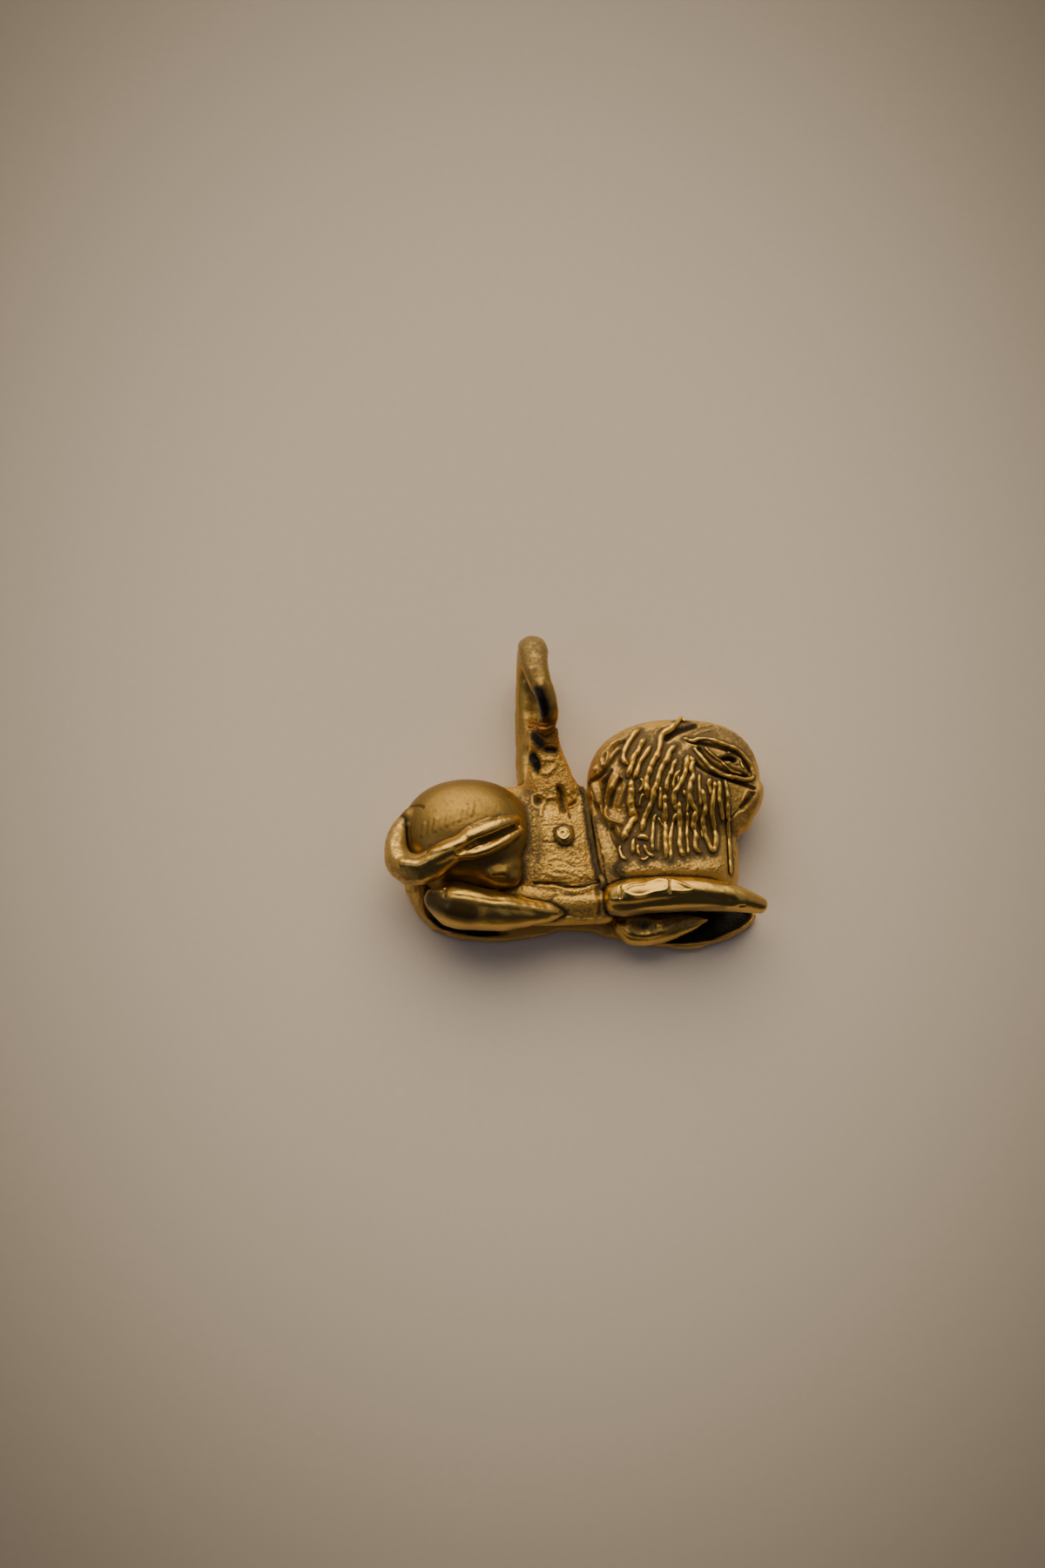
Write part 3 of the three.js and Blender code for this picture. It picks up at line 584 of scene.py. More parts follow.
chase(torso, [
    (LONG_PIT, 0.6, -0.6),
    *BLACK_PITS,
    # the raised lips of metal round the pits
    ([(638, 905), (639, 915), (641, 930), (640, 936)], 0.2, 0.12),
    ([(626, 918), (622, 928), (621, 937)], 0.18, 0.14),
    ([(627, 917), (632, 915), (638, 915)], 0.18, 0.14),
    ([(611, 914), (619, 911), (626, 915), (626, 922), (619, 928), (612, 923), (611, 914)], 0.2, 0.13),
    ([(653, 910), (656, 914), (662, 918), (663, 922), (656, 927), (651, 925), (655, 920)], 0.18, 0.14),
    # file lines
    ([(625, 947), (635, 947), (642, 946)], 0.14, -0.08),
    ([(636, 942), (646, 941), (652, 944)], 0.14, -0.06),
    ([(624, 966), (632, 967), (640, 966)], 0.16, -0.1),
    ([(630, 989), (640, 988), (650, 990), (658, 994), (665, 997)], 0.2, -0.08),
    # wrinkles where the metal set
    ([(655, 975), (668, 985), (672, 992)], 0.3, 0.1),
    ([(662, 970), (664, 980), (670, 990)], 0.3, 0.1),
    ([(640, 998), (655, 1000), (668, 1006)], 0.3, 0.08),
    ([(663, 996), (672, 1002), (680, 1010)], 0.26, 0.1),
    ([(626, 1002), (640, 1006), (650, 1006)], 0.3, 0.08),
    # the line round the foot of the stud
    ([(648, 946), (657, 950), (659, 958), (654, 965), (645, 966), (638, 961), (637, 953),
      (648, 946)], 0.14, -0.12),
    # sand
    *peppered(FLANK, 60, 0.16, 0.05, 3),
    *peppered(LOWER, 90, 0.18, 0.05, 5),
    *peppered([(640, 968), (672, 966), (676, 990), (655, 990)], 60, 0.16, 0.08, 6),
    *peppered([(603, 905), (670, 905), (672, 945), (610, 945)], 60, 0.2, -0.05, 7),
    # the belly, with its wavy upper edge and the groove at the seam
    ([(620, 1017), (640, 1019), (658, 1024), (672, 1021), (684, 1016)], 0.35, 0.2),
    (BELLY_LINE, 0.22, -0.28),
    ([(633, 1017), (637, 1018)], 0.35, 0.2),
    ([(686, 1020), (689, 1035), (688, 1050)], 0.4, -0.2),
    ([(652, 1054), (670, 1056), (690, 1055)], 0.3, 0.15),
    *peppered([(615, 1018), (686, 1018), (686, 1032), (640, 1030)], 25, 0.25, 0.06, 8),
    # the bail's foot, pitted by the torch
    ([(620, 886), (628, 888), (636, 882)], 0.4, 0.2),
    ([(625, 872), (634, 872)], 0.3, 0.15),
    ([(612, 868), (616, 876), (616, 886)], 0.6, -0.4),
    ([(628, 861), (638, 862)], 0.4, -0.25),
    *peppered([(606, 868), (645, 868), (660, 900), (602, 900)], 30, 0.35, -0.08, 22),
])
dented(torso, 3, 0.02, 2)
dented(torso, 0.5, 0.009, 42)
dented(torso, 0.8, 0.013, 43, [(640, 968), (660, 968), (664, 990), (655, 1004), (632, 1002)], 1.8)
dented(torso, 0.8, 0.024, 44, [(655, 932), (662, 912), (640, 925), (622, 915)], 1.4)
dented(torso, 1.1, 0.03, 45, [(620, 1022), (650, 1024), (684, 1020)], 0.9)
stain(torso, "patina_and_painted_shade", [
    ([(604, 915), (611, 950), (613, 980), (609, 1004)], 1.5, 0.5),
    # painted shade on the underside of the belly
    ([(640, 1035), (665, 1042), (690, 1045)], 1.1, 0.45),
    ([(672, 908), (676, 950), (684, 1000)], 0.4, 0.5),
])
stain(torso, "soot_and_painted_shade", [
    (LONG_PIT[:2], 0.4, 0.5), (LONG_PIT, 0.4, 0.2),
    *[(course, reach, 0.25) for course, reach, _ in BLACK_PITS],
    # painted shade in the groove above the belly
    (BELLY_LINE, 0.2, 0.7),
    # round the braze: brazing soot, painted darker still as a painted dark reflection
    ([(612, 870), (618, 880)], 0.8, 1.0),
    ([(628, 861), (636, 862)], 0.55, 0.95),
    ([(613, 845), (621, 854)], 0.7, 1.0),
])
stain(torso, "flux", [
    ([(600, 903), (612, 901), (628, 900)], 0.6, 0.45), ([(606, 906), (640, 902)], 0.5, 0.15),
    ([(606, 898), (630, 897), (648, 893)], 0.7, 0.4), ([(614, 858), (638, 858)], 0.7, 0.7),
    ([(612, 841), (638, 841)], 0.9, 0.9), ([(624, 850), (640, 850)], 0.8, 0.8),
])
cast(torso, sandy, "torso", "belly_roll", "bail_foot")

# Stud: a small brass pellet brazed to the middle of the flank. A blow dented its top, and it is
# rubbed bright.

# Polished brass: rubbed bright where a hand or cloth reaches, so it mirrors the room in broad bands.
rubbed = gilt_brass(
    "polished_gilt_brass", "DCB664", "C6A056", roughness=0.3, grain=0.3, pitting=0.02, cover=0.04
)

stud = wax("side_stud", "side_stud", grain=0.12, softening=3, levels=1)
chase(stud, [
    ([(640, 952), (648, 950), (654, 957), (648, 963), (641, 959), (640, 952)], 0.14, 0.08),
    ([(646, 956)], 0.3, -0.08),
])
cast(stud, rubbed, "side_stud")

# Hind foot: a long smooth roll of brass, round at the heel and drawn to a point at the toe, brazed
# along the haunch and rubbed bright.
foot = wax("hind_foot", "hind_foot", grain=0.3)
chase(foot, [
    # a bump and a nick at the heel, the long crest and soft dents
    ([(500, 1024), (507, 1024)], 0.35, 0.2),
    ([(511, 1021), (511, 1029)], 0.2, -0.15),
    ([(520, 1030), (560, 1036), (600, 1040), (640, 1048)], 0.5, 0.1),
    *peppered([(500, 1025), (600, 1030), (640, 1045), (600, 1050), (500, 1040)], 22, 0.6, -0.04, 9),
])
dented(foot, 3.2, 0.035, 3)
dented(foot, 1.6, 0.02, 53)
# a painted dark reflection on the heel, where the tail hangs over it
stain(foot, "soot_and_painted_shade", [([(494, 1032), (504, 1038), (520, 1043), (540, 1048)], 1.5, 0.9)])
cast(foot, rubbed, "hind_foot")

# Tail: a thick roll of brass from the rump round the end of the haunch, ending over the thigh in a
# tuft of two lobes with a deep cut between them. It is rubbed bright; its root and inner side are painted
# brown and the cut above the lobes black, as painted shade.
tail = wax("tail", "tail", "tail_tuft", grain=0.26)
chase(tail, [
    # the ridge at the bend, the cut between the lobes, the line above them, the two lobes, a nick
    ([(462, 990), (480, 992), (498, 985), (520, 976), (545, 968)], 0.8, 0.3),
    ([(527, 976), (540, 971), (552, 965), (566, 959), (580, 954), (593, 948)], 0.42, -0.55),
    ([(540, 948), (550, 943), (565, 939), (575, 935), (588, 932)], 0.45, -0.35),
    ([(497, 979), (515, 974), (530, 967), (545, 959), (562, 953), (577, 946), (593, 940)], 0.8, 0.32),
    ([(525, 981), (545, 980), (560, 975), (572, 969), (585, 962), (598, 953)], 0.5, 0.25),
    ([(516, 960), (525, 957)], 0.2, -0.15),
])
change(tail, "SMOOTH", factor=0.5, iterations=6)
dented(tail, 3, 0.03, 4)
dented(tail, 1.2, 0.01, 54)
# the root and the inner side are painted brown as painted shade
stain(tail, "patina_and_painted_shade", [
    ([(456, 950), (448, 965), (446, 985), (452, 1002), (468, 1010)], 1.5, 0.42),
    ([(456, 943), (460, 960), (463, 976), (472, 984)], 0.9, 0.35),
])
# painted shade in the cut above the lobes and beside the crevice
stain(tail, "soot_and_painted_shade", [
    ([(540, 948), (550, 943), (565, 939), (575, 935), (586, 932)], 0.3, 0.6),
    ([(462, 968), (466, 982)], 0.5, 0.4),
])
cast(tail, rubbed, "tail", "tail_tuft")

# Head: the broad disc of the mane and the face in profile, with the chest below it and the short
# tufts of the nape behind, cast as one in brass. The locks and lids are laid on it afterwards.

# Rough cast brass: only brushed after casting, so it gives the eye a soft gold with brown in its skin.
rough = gilt_brass(
    "cast_gilt_brass", "E0B96A", "CCA65E", roughness=0.52, grain=0.22, pitting=0.08, cover=0.12
)

NAPE = [f"nape_lock_{number}" for number in range(1, 5)]
head = wax("head", "head", "chest", "muzzle", "chin", *NAPE, grain=0.3)
PUPIL = [(829.5, 872), (836, 870.5), (843, 872.5)]
MANE_PIT = [(704, 952.5), (709, 964), (710, 976)]
MOUTH = [(863, 911), (858, 919), (852, 927)]
HEM = [(708, 987), (740, 985), (800, 983), (830, 985), (828, 1000), (790, 1001), (740, 1000), (712, 1002)]
UNDER_BROW = [(790, 849), (802, 852.5), (819, 855.5), (831, 859), (843, 864), (853, 872), (861, 885)]
UNDER_EYE = [(803, 859), (810, 869), (820, 877.5), (831, 884), (845, 889), (857.5, 890.5)]
UNDER_LID = [(797, 874), (805, 881), (819, 889), (831, 892.5), (845, 897), (857.5, 901), (865, 904)]
THROAT_CREASE = [(829, 894), (831, 908), (833, 925), (835, 945), (836, 965), (837, 985), (838, 1002)]
CROWN_HOLLOW = [(797, 833), (786, 836.5), (774, 841), (765, 848)]
NAPE_GROOVES = [
    [(711, 863), (703, 874), (696, 884), (688, 891), (677, 897)],
    [(701, 884), (696, 894), (694, 905), (693, 917), (693, 928)],
    [(712, 896), (706, 906), (702, 916), (700, 926)],
    [(675, 900), (680, 909), (685, 924), (691, 938), (697, 950)],
]
chase(head, [([(712, 1000), (760, 998), (822, 998)], 1.4, 0.4)])
chase(head, [
    # the grooves of the brow, the eye and the neck, and those that part the nape's tufts
    (CROWN_HOLLOW, 0.5, -0.45),
    *[(groove, 0.32, -0.42) for groove in (UNDER_BROW, UNDER_EYE, UNDER_LID)],
    (THROAT_CREASE, 0.25, -0.3),
    *[(groove, 0.36, -0.45) for groove in NAPE_GROOVES],
    # the ball of the eye with its pupil
    ([(810, 860), (821, 866), (832.5, 873), (845, 880), (856, 887)], 0.45, 0.22),
    (PUPIL, 0.45, -0.6),
    ([(840, 876), (846, 878)], 0.3, -0.3),
    # the ridges of the nape's tufts, and the curl below them
    ([(717, 851), (709, 852), (702, 857), (698, 863), (693.5, 868), (692.5, 874), (693.5, 879)], 0.4, 0.42),
    ([(699, 864), (698, 870), (696.5, 877)], 0.24, 0.3),
    ([(684, 883)], 0.5, 0.36),
    ([(686.5, 889)], 0.36, 0.26),
    ([(683, 902), (685, 911), (686, 920)], 0.55, 0.36),
    ([(702, 877), (697, 888), (692.5, 895), (691.5, 905)], 0.2, 0.22),
    ([(708, 892), (703, 904), (699, 916), (697, 928)], 0.46, 0.36),
    ([(718, 902), (714, 913), (711, 924)], 0.36, 0.22),
    ([(695, 931), (696, 939), (701, 943), (707, 945), (713, 946.5)], 0.24, 0.42),
    # pits in the mane, grains beside them, and two fullnesses under the locks
    ([(703, 951)], 0.5, -0.5),
    (MANE_PIT, 0.42, -0.5),
    ([(711, 931)], 0.26, 0.15),
    ([(707.5, 935.5)], 0.22, 0.12),
    ([(716.5, 925)], 0.24, 0.12),
    ([(757, 935), (756, 947.5), (756, 962.5), (755, 974)], 0.45, 0.2),
    ([(784, 870), (780, 884), (777, 896), (775, 906)], 0.4, 0.16),
    # the mouth with the muzzle's fine lines, and those above the brow and on the chest
    (MOUTH, 0.42, -0.4),
    ([(850, 929), (844, 935), (838, 941)], 0.22, -0.18),
    ([(861, 903), (855, 914), (851, 925)], 0.15, 0.09),
    ([(862.5, 907), (865, 916)], 0.14, 0.08),
    ([(844, 908), (848, 918), (849, 926)], 0.16, 0.05),
    ([(840, 903), (846, 905)], 0.14, 0.07),
    ([(798, 843), (806, 840), (815, 838.5)], 0.25, 0.1),
    ([(797, 836.5), (808, 835), (820, 833)], 0.25, -0.14),
    ([(756, 840.5), (762.5, 835.5), (770, 832)], 0.3, -0.2),
    ([(824.5, 990.5), (828, 993), (832, 991.5)], 0.16, 0.1),
    # grains of sand
    *peppered(HEM, 120, 0.15, 0.1, 11),
    *peppered([(750, 936), (762, 938), (763, 972), (752, 974)], 30, 0.14, 0.11, 12),
    *peppered([(690, 985), (712, 985), (716, 1005), (694, 1008)], 40, 0.2, 0.09, 13),
    *peppered([(716, 895), (742, 900), (740, 935), (728, 960), (722, 930)], 30, 0.16, 0.09, 14),
    *peppered([(838, 900), (862, 905), (852, 922), (842, 930)], 20, 0.2, 0.04, 15),
    *peppered([(722, 850), (760, 850), (800, 880), (815, 960), (720, 970), (714, 880)], 160, 0.15, 0.07, 18),
    *peppered([(703, 927), (718, 922), (719, 940), (704, 940)], 24, 0.16, 0.1, 19),
])

# Locks: thin rolls of wax laid over the mane one by one, so each has its own wander and width.
# The ground between them keeps its brown, because the polishing cloth only reaches the crests.
# The first sixteen are those of the CAD, and the others fill the spaces between them.

# Burnished brass: its crests are pressed smooth with a steel; its palest gold is a lighter copy of the gold,
# as a painted highlight.
burnished_and_lit = gilt_brass(
    "burnished_gilt_brass_painted_highlight", "F6CE70", "E6BC60", roughness=0.43, grain=0.2, pitting=0.03, cover=0.0
)

LOCK_FULLNESS = 1.15  # the rolls flatten and spread a little as they are pressed down
FINE_CREEP = 0.14  # mm, as the cloth reaches almost all of a fine roll
FINE_LOCKS = [
    ([(734, 838), (727, 846), (721, 855), (717, 863), (715.5, 870), (718, 875), (722, 878)], 0.38),
    ([(741, 849), (736, 855), (733, 862), (728, 869), (726, 877), (723, 885), (721, 892)], 0.42),
    ([(747, 856), (743.5, 862), (739.5, 869), (735, 876), (732.5, 883), (730, 890), (727.5, 894)], 0.36),
    ([(788, 828.5), (781, 827), (776, 832), (768, 838.5), (760, 844), (758, 854), (755, 865),
      (751, 873), (746, 884), (742.5, 894), (742.5, 904.5), (744, 916)], 0.42),
    ([(776, 855.5), (770, 861.5), (766, 870), (761, 879), (757, 887), (755, 896), (753, 902.5),
      (750, 909), (749, 919), (745.5, 926), (742, 934), (739, 943), (736.5, 954)], 0.42),
    ([(777, 871), (773, 878), (771, 885), (768, 891), (766, 897), (765, 903), (766, 909)], 0.34),
    ([(764, 911), (763, 920), (764, 928), (764, 940), (763.5, 954), (764, 967.5), (765, 985)], 0.36),
    ([(790, 866.5), (788, 877.5), (786.5, 887), (782.5, 895), (778, 903), (774, 910),
      (774, 919), (775, 927), (778, 930)], 0.38),
    ([(792, 867.5), (794.5, 875.5), (793.5, 883), (796, 890), (793, 898), (791.5, 907.5), (792, 916),
      (795, 924), (799, 929.5), (797, 938), (796, 947.5), (798.5, 959), (797.5, 968), (799, 975),
      (804.5, 978.5)], 0.4),
    ([(806, 906), (808, 916), (809.5, 927.5), (807, 937.5), (806.5, 946),
      (809, 957), (812.5, 967), (817, 976), (820.5, 973), (821, 959), (819, 944), (817, 931),
      (818.5, 915), (820, 904.5), (820.5, 897)], 0.36),
    ([(816, 893), (813, 899), (815, 906), (817, 914)], 0.3),
    ([(825, 896), (826, 906), (825, 915), (827, 925), (828.5, 934), (830, 941)], 0.32),
    ([(780, 920), (780, 931), (780.5, 945), (780.5, 959), (780, 968), (782, 977), (784.5, 984)], 0.38),
    ([(779.5, 933.5), (775, 936), (772.5, 945), (770, 957), (769, 968), (770, 977), (770, 987)], 0.3),
    ([(789, 932), (789.5, 940), (788.5, 951), (788.5, 962), (789.5, 971), (790, 981)], 0.24),
    ([(724, 895), (726, 901), (725, 910), (724, 921), (727, 931), (729, 938), (724, 946),
      (720, 954), (716.5, 961), (715.5, 965.5)], 0.55),
    ([(735, 893), (739, 898), (737.5, 904), (733.5, 909)], 0.24),
    ([(754, 934), (751, 941), (750, 951), (749, 961), (749, 970), (750, 976)], 0.28),
    ([(728, 963), (726.5, 971), (727, 980)], 0.3),
    ([(733, 969), (732, 976), (735, 982.5)], 0.28),
    ([(739.5, 969), (741.5, 976), (745.5, 981), (752, 983)], 0.28),
    ([(731, 961.5), (736, 960.5), (741, 961), (744, 964)], 0.34),
    ([(713, 970), (712.5, 978), (715, 985), (720, 986.5)], 0.26),
    ([(803, 889), (802.5, 899), (803.5, 908), (804, 917), (804.5, 925)], 0.26),
    ([(758, 903), (758.5, 912.5), (758, 922), (758.5, 929)], 0.26),
    ([(781, 884), (777, 889), (774, 897), (773, 905)], 0.24),
    ([(789.5, 900), (789, 912), (790, 922), (788.5, 933)], 0.22),
    ([(785, 906.5), (786.5, 914)], 0.22),
    ([(763, 931), (760.5, 937), (762, 945)], 0.2),
    ([(756, 938), (759, 945), (761.5, 950)], 0.18),
    ([(806.5, 949), (805.5, 956), (807, 962)], 0.18),
    ([(735, 985.5), (740, 987), (745, 983)], 0.2),
    ([(734, 925), (735.5, 918), (738, 912), (741, 914)], 0.18),
    ([(779, 890), (778.5, 896), (780, 901)], 0.18),
]
# The ground under them is finished first, with a low swell and brown along each lock.
chase(head, [(course, 0.36, 0.08) for course, _ in FINE_LOCKS])
dented(head, 4, 0.03, 8)
dented(head, 0.55, 0.008, 46)
dented(head, 0.8, 0.02, 47, [(700, 992), (730, 994), (770, 993), (815, 990)], 1.1)
change(head, "DECIMATE", ratio=0.47)  # keeps it under 200,000 triangles
stain(head, "patina_and_painted_shade", [
    *[(course, 0.95, 0.6) for course, _ in FINE_LOCKS],
    *[(groove, 0.4, 0.8) for groove in NAPE_GROOVES],
    ([(735, 846), (750, 842), (765, 838)], 0.9, 0.6),
    ([(790, 838), (820, 838), (845, 848), (860, 864)], 1.5, 0.6),
    ([(700, 850), (716, 842), (732, 834)], 0.7, 0.35),
    # painted shade beside the nose
    ([(866, 903), (870, 912), (866, 922)], 0.5, 0.6),
    ([(840, 940), (846, 965), (842, 995)], 0.5, 0.3),
])
# the pupil, the pits of the mane, the mouth, the hollow of the crown, the throat's crease and the grooves of
# the eye are painted black as painted shade
stain(head, "soot_and_painted_shade", [
    (PUPIL, 0.5, 1.0), ([(840, 876), (846, 878)], 0.34, 0.5),
    ([(703, 951)], 0.45, 0.5), (MANE_PIT, 0.3, 0.35),
    (MOUTH, 0.34, 0.8), (CROWN_HOLLOW, 0.45, 0.85), (THROAT_CREASE, 0.14, 0.6),
    *[(course, 0.8, 0.14) for course, _ in FINE_LOCKS],
    *[(groove, 0.28, 0.8) for groove in (UNDER_BROW, UNDER_EYE, UNDER_LID)],
])
cast(head, rough, "head", "chest", "muzzle", "chin", "eyeball", *NAPE)


def skin_of(piece):
    """The skin of a finished piece, in mm again, to lay things on."""
    faces = [tuple(face.vertices) for face in piece.data.polygons]
    return BVHTree.FromPolygons([point.co / MM for point in piece.data.vertices], faces)


def rolled(name, places, radii):
    """A closed roll of wax along a line of places, in mm."""
    bpy.ops.object.select_all(action="DESELECT")
    line = bpy.data.curves.new(name, "CURVE")
    line.dimensions = "3D"
    line.bevel_depth = 1
    line.bevel_resolution = 3
    line.use_fill_caps = True
    spline = line.splines.new("POLY")
    spline.points.add(len(places) - 1)
    for point, place, radius in zip(spline.points, places, radii):
        point.co = (*place, 1)
        point.radius = radius
    piece = bpy.data.objects.new(name, line)
    bpy.context.scene.collection.objects.link(piece)
    piece.select_set(True)
    bpy.context.view_layer.objects.active = piece
    bpy.ops.object.convert(target="MESH")
    return bpy.context.object


SUNK = 0.18  # how much of its height a roll is sunk into what it is laid on
SETTLING = 6  # rounds that even out its course over the bumps below it
LUMPS = (3.2, 1.7, 0.9)  # mm, the lengths of its swellings
LUMPINESS = 0.3  # how much they add to its width or take from it
ROLL_DENTS = 0.055  # depth of its dents, as a part of its width
DENT_WAVE = 0.7  # mm
END_ROUND = 0.9  # length over which an end rounds off, as a part of its width
END_LEAST = 0.02
END_DIP = 0.1  # how far an end dips, as a part of its width


def laid_roll(name, skin, course, width, seed):
    """A roll laid along a line in the picture on a skin, a little sunk, and uneven as if by hand."""
    places, normals = laid_on(skin, course)
    count = len(places)
    for _ in range(SETTLING):
        places[1:-1] = (places[:-2] + 2 * places[1:-1] + places[2:]) / 4
        normals[1:-1] = (normals[:-2] + 2 * normals[1:-1] + normals[2:]) / 4
    normals /= np.linalg.norm(normals, axis=1)[:, None]
    dice = np.random.default_rng(seed)
    run = np.linspace(0, 1, count)
    length = np.linalg.norm(np.diff(places, axis=0), axis=1).sum()
    lumps = sum(
        dice.uniform(0.4, 1) * np.sin(2 * math.pi * (run * length / wave + dice.uniform()))
        for wave in LUMPS
    ) / len(LUMPS)
    ends = np.clip(np.minimum(run, 1 - run) * length / (width * END_ROUND), END_LEAST, 1) ** 0.5
    radii = width / 2 * (1 + LUMPINESS * lumps) * ends
    places += normals * (radii * (1 - 2 * SUNK) - width * END_DIP * (1 - ends))[:, None]
    return dented(rolled(name, places, radii), DENT_WAVE, width * ROLL_DENTS, seed)


head_skin = skin_of(head)
for number, (course, width) in enumerate(FINE_LOCKS, 1):
    lock = laid_roll(f"lock_{number:02d}", head_skin, course, width * LOCK_FULLNESS, number)
    replaced = [f"mane_lock_{number:02d}"] if number <= 16 else []
    cast(lock, burnished_and_lit, *replaced, creep=FINE_CREEP)

# Lids: two thin rolls of wax that meet at the corners of the long eye, cast in brass with the head.
# Inside them two finer rims edge the ball, and a pellet sits on the lower lid.
RIM_CREEP = 0.1  # mm
UPPER_LID = [(784.5, 848), (795, 849.5), (810, 848.5), (819, 850.5), (829, 854), (842.5, 859),
             (851, 865), (858, 874), (863, 884), (865, 892.5)]
LOWER_LID = [(796, 858), (801, 865), (807.5, 872.5), (815, 881), (821, 885), (827, 888), (834, 890),
             (845, 893), (855, 895), (862.5, 894), (865, 889.5)]
PELLET = [(826, 886), (829, 888)]
BALL_TOP = [(835, 864), (844, 867.5), (850, 872), (851, 878), (853.5, 882.5)]
BALL_LOW = [(808.5, 857), (814, 863), (820, 868), (827, 874), (834, 880), (841, 885), (852, 887.5)]
for name, course, width, seed, creep in (
    ("upper_lid", UPPER_LID, 0.3, 31, FINE_CREEP), ("lower_lid", LOWER_LID, 0.32, 32, FINE_CREEP),
    ("eye_rim_upper", BALL_TOP, 0.17, 33, RIM_CREEP),
    ("eye_rim_lower", BALL_LOW, 0.18, 34, RIM_CREEP),
    ("lid_pellet", PELLET, 0.62, 35, FINE_CREEP),
):
    replaced = [name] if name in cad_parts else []
    roll = laid_roll(name, head_skin, course, width, seed)
    cast(roll, burnished_and_lit, *replaced, creep=creep)

# Throat: a thin upright roll of brass down the front edge of the neck, laid on in wax like the
# locks and burnished with them.
THROAT = [(832, 895), (834, 905), (835.5, 921), (836.5, 937.5), (837, 957.5), (838, 977.5), (839, 994),
          (839.5, 1004.5)]
throat = laid_roll("throat_bead", head_skin, THROAT, 0.32, 36)
cast(throat, burnished_and_lit, "throat_bead", creep=FINE_CREEP)

# Shoulder flap: the rough wedge of cast brass that edges the mane along the seam. It was trimmed
# and pressed down by hand, so it has two ridges, a bump and grains of sand.
flap = wax("shoulder_flap", "shoulder_flap", grain=0.16, softening=3, levels=1)
chase(flap, [
    ([(674, 925), (680, 945), (686, 965), (692, 980)], 0.3, 0.12),
    ([(681, 938), (691, 940)], 0.14, 0.06),
    ([(682, 925), (690, 938), (697, 950), (701, 964), (706, 975)], 0.2, 0.1),
    *peppered([(676, 930), (690, 940), (705, 970), (700, 990), (688, 970)], 30, 0.24, 0.06, 16),
])
dented(flap, 0.6, 0.014, 48)
cast(flap, rough, "shoulder_flap")

# Seam: a brown fillet of brazing solder that closes the joint between the barrel and the shoulder.
# It was run in with a torch and never polished.
SEAM = [(672, 903), (674.5, 915), (676, 930), (678.5, 948), (682, 966), (686, 986), (690, 1006), (693, 1020)]
SEAM_LEFT = 8  # picture columns to its left, where the barrel's edge lies
SEAM_RIGHT = 0.58  # mm from that edge to the middle of the joint
SEAM_DEPTH = 0.36  # mm, how far its middle lies below the barrel's face
SEAM_RADIUS = 0.26  # mm
places, normals = laid_on(skin_of(torso), [(column - SEAM_LEFT, row) for column, row in SEAM])
places += np.array(right) * SEAM_RIGHT - normals * SEAM_DEPTH
seam = rolled("seam_fillet", places, np.full(len(places), SEAM_RADIUS))
dented(seam, 0.9, 0.03, 49)
stain(seam, "patina_and_painted_shade", [(SEAM, 1.5, 0.5)])
stain(seam, "soot_and_painted_shade", [(SEAM, 1.5, 0.15)])
cast(seam, rough, slot="antiqued_brass")

# Forelegs: two pieces of brass brazed under the chest and rubbed bright, the near one a long roll
# facetted along its top, the far one a leaf with a thumb dent, tucked into the hollow below it.
near = wax("near_foreleg", "near_foreleg", grain=0.3)
chase(near, [
    # the edges of the three facets on its top, with the nicks between them
    ([(717, 1022), (725, 1017), (738, 1015), (746, 1012), (756, 1009), (765, 1010)], 0.2, 0.08),
    ([(718, 1024), (727, 1028), (738, 1028), (750, 1024), (764, 1021), (767, 1016)], 0.22, 0.1),
    ([(771, 1010), (780, 1013), (789, 1017), (796, 1021), (785, 1023), (772, 1022)], 0.22, 0.1),
    ([(769, 1010), (770, 1025)], 0.16, -0.1),
    ([(712, 1018), (712, 1030)], 0.2, -0.12),
    # the flat below them, and nicks above and at the toe
    ([(700, 1040), (730, 1038), (760, 1034), (800, 1030), (840, 1034)], 0.7, -0.15),
    ([(744, 1006)], 0.2, -0.1),
    ([(850, 1040), (854, 1040)], 0.2, -0.08),
])
dented(near, 3, 0.03, 5)
dented(near, 1.3, 0.012, 52)
# a painted dark reflection along the leg's lower flank
stain(near, "soot_and_painted_shade", [([(700, 1048), (730, 1047), (760, 1046), (800, 1043), (830, 1042)], 0.5, 0.45)])
cast(near, rubbed, "near_foreleg")

far_leg = wax("far_foreleg", "far_foreleg", grain=0.26)
THUMB_DENT = [(730, 1062), (738, 1063), (746, 1063)]
chase(far_leg, [
    # the thumb dent, a nick and the raised lower edge
    ([(738, 1062)], 1.1, -0.3),
    ([(753, 1062), (754, 1071)], 0.15, -0.05),
    ([(710, 1060), (718, 1068), (730, 1074), (745, 1074), (758, 1070), (775, 1063), (798, 1054)], 0.4, 0.07),
])
dented(far_leg, 1.6, 0.03, 51)
# the thumb dent is painted black and brown as a painted dark reflection, and the leaf brown as painted shade
# under the near leg and towards its ends
stain(far_leg, "soot_and_painted_shade", [(THUMB_DENT, 0.75, 0.5), ([(741, 1063)], 0.6, 0.8)])
stain(far_leg, "patina_and_painted_shade", [
    (THUMB_DENT, 1.1, 0.5), ([(706, 1052), (740, 1050), (790, 1050)], 0.7, 0.8),
    ([(712, 1068), (728, 1078), (752, 1078), (780, 1070)], 0.5, 0.15),
    ([(765, 1062), (800, 1052)], 0.9, 0.6),
])
cast(far_leg, rubbed, "far_foreleg", slot="antiqued_brass")

# Bail: one thick brass wire that rises behind the back, turns over and comes down in front,
# thinner, to its foot. The brazing left brown glassy flux and soot round the joint.

# Drawn brass: pulled through a plate and wiped, so it gives the eye one long soft highlight; its tone is a
# darker copy of the gold, as painted shade.
satin_and_shaded = gilt_brass(
    "drawn_satin_gilt_brass_painted_shade", "C09E56", "AA8A4A", roughness=0.33, grain=0.3, pitting=0.02, cover=0.05
)

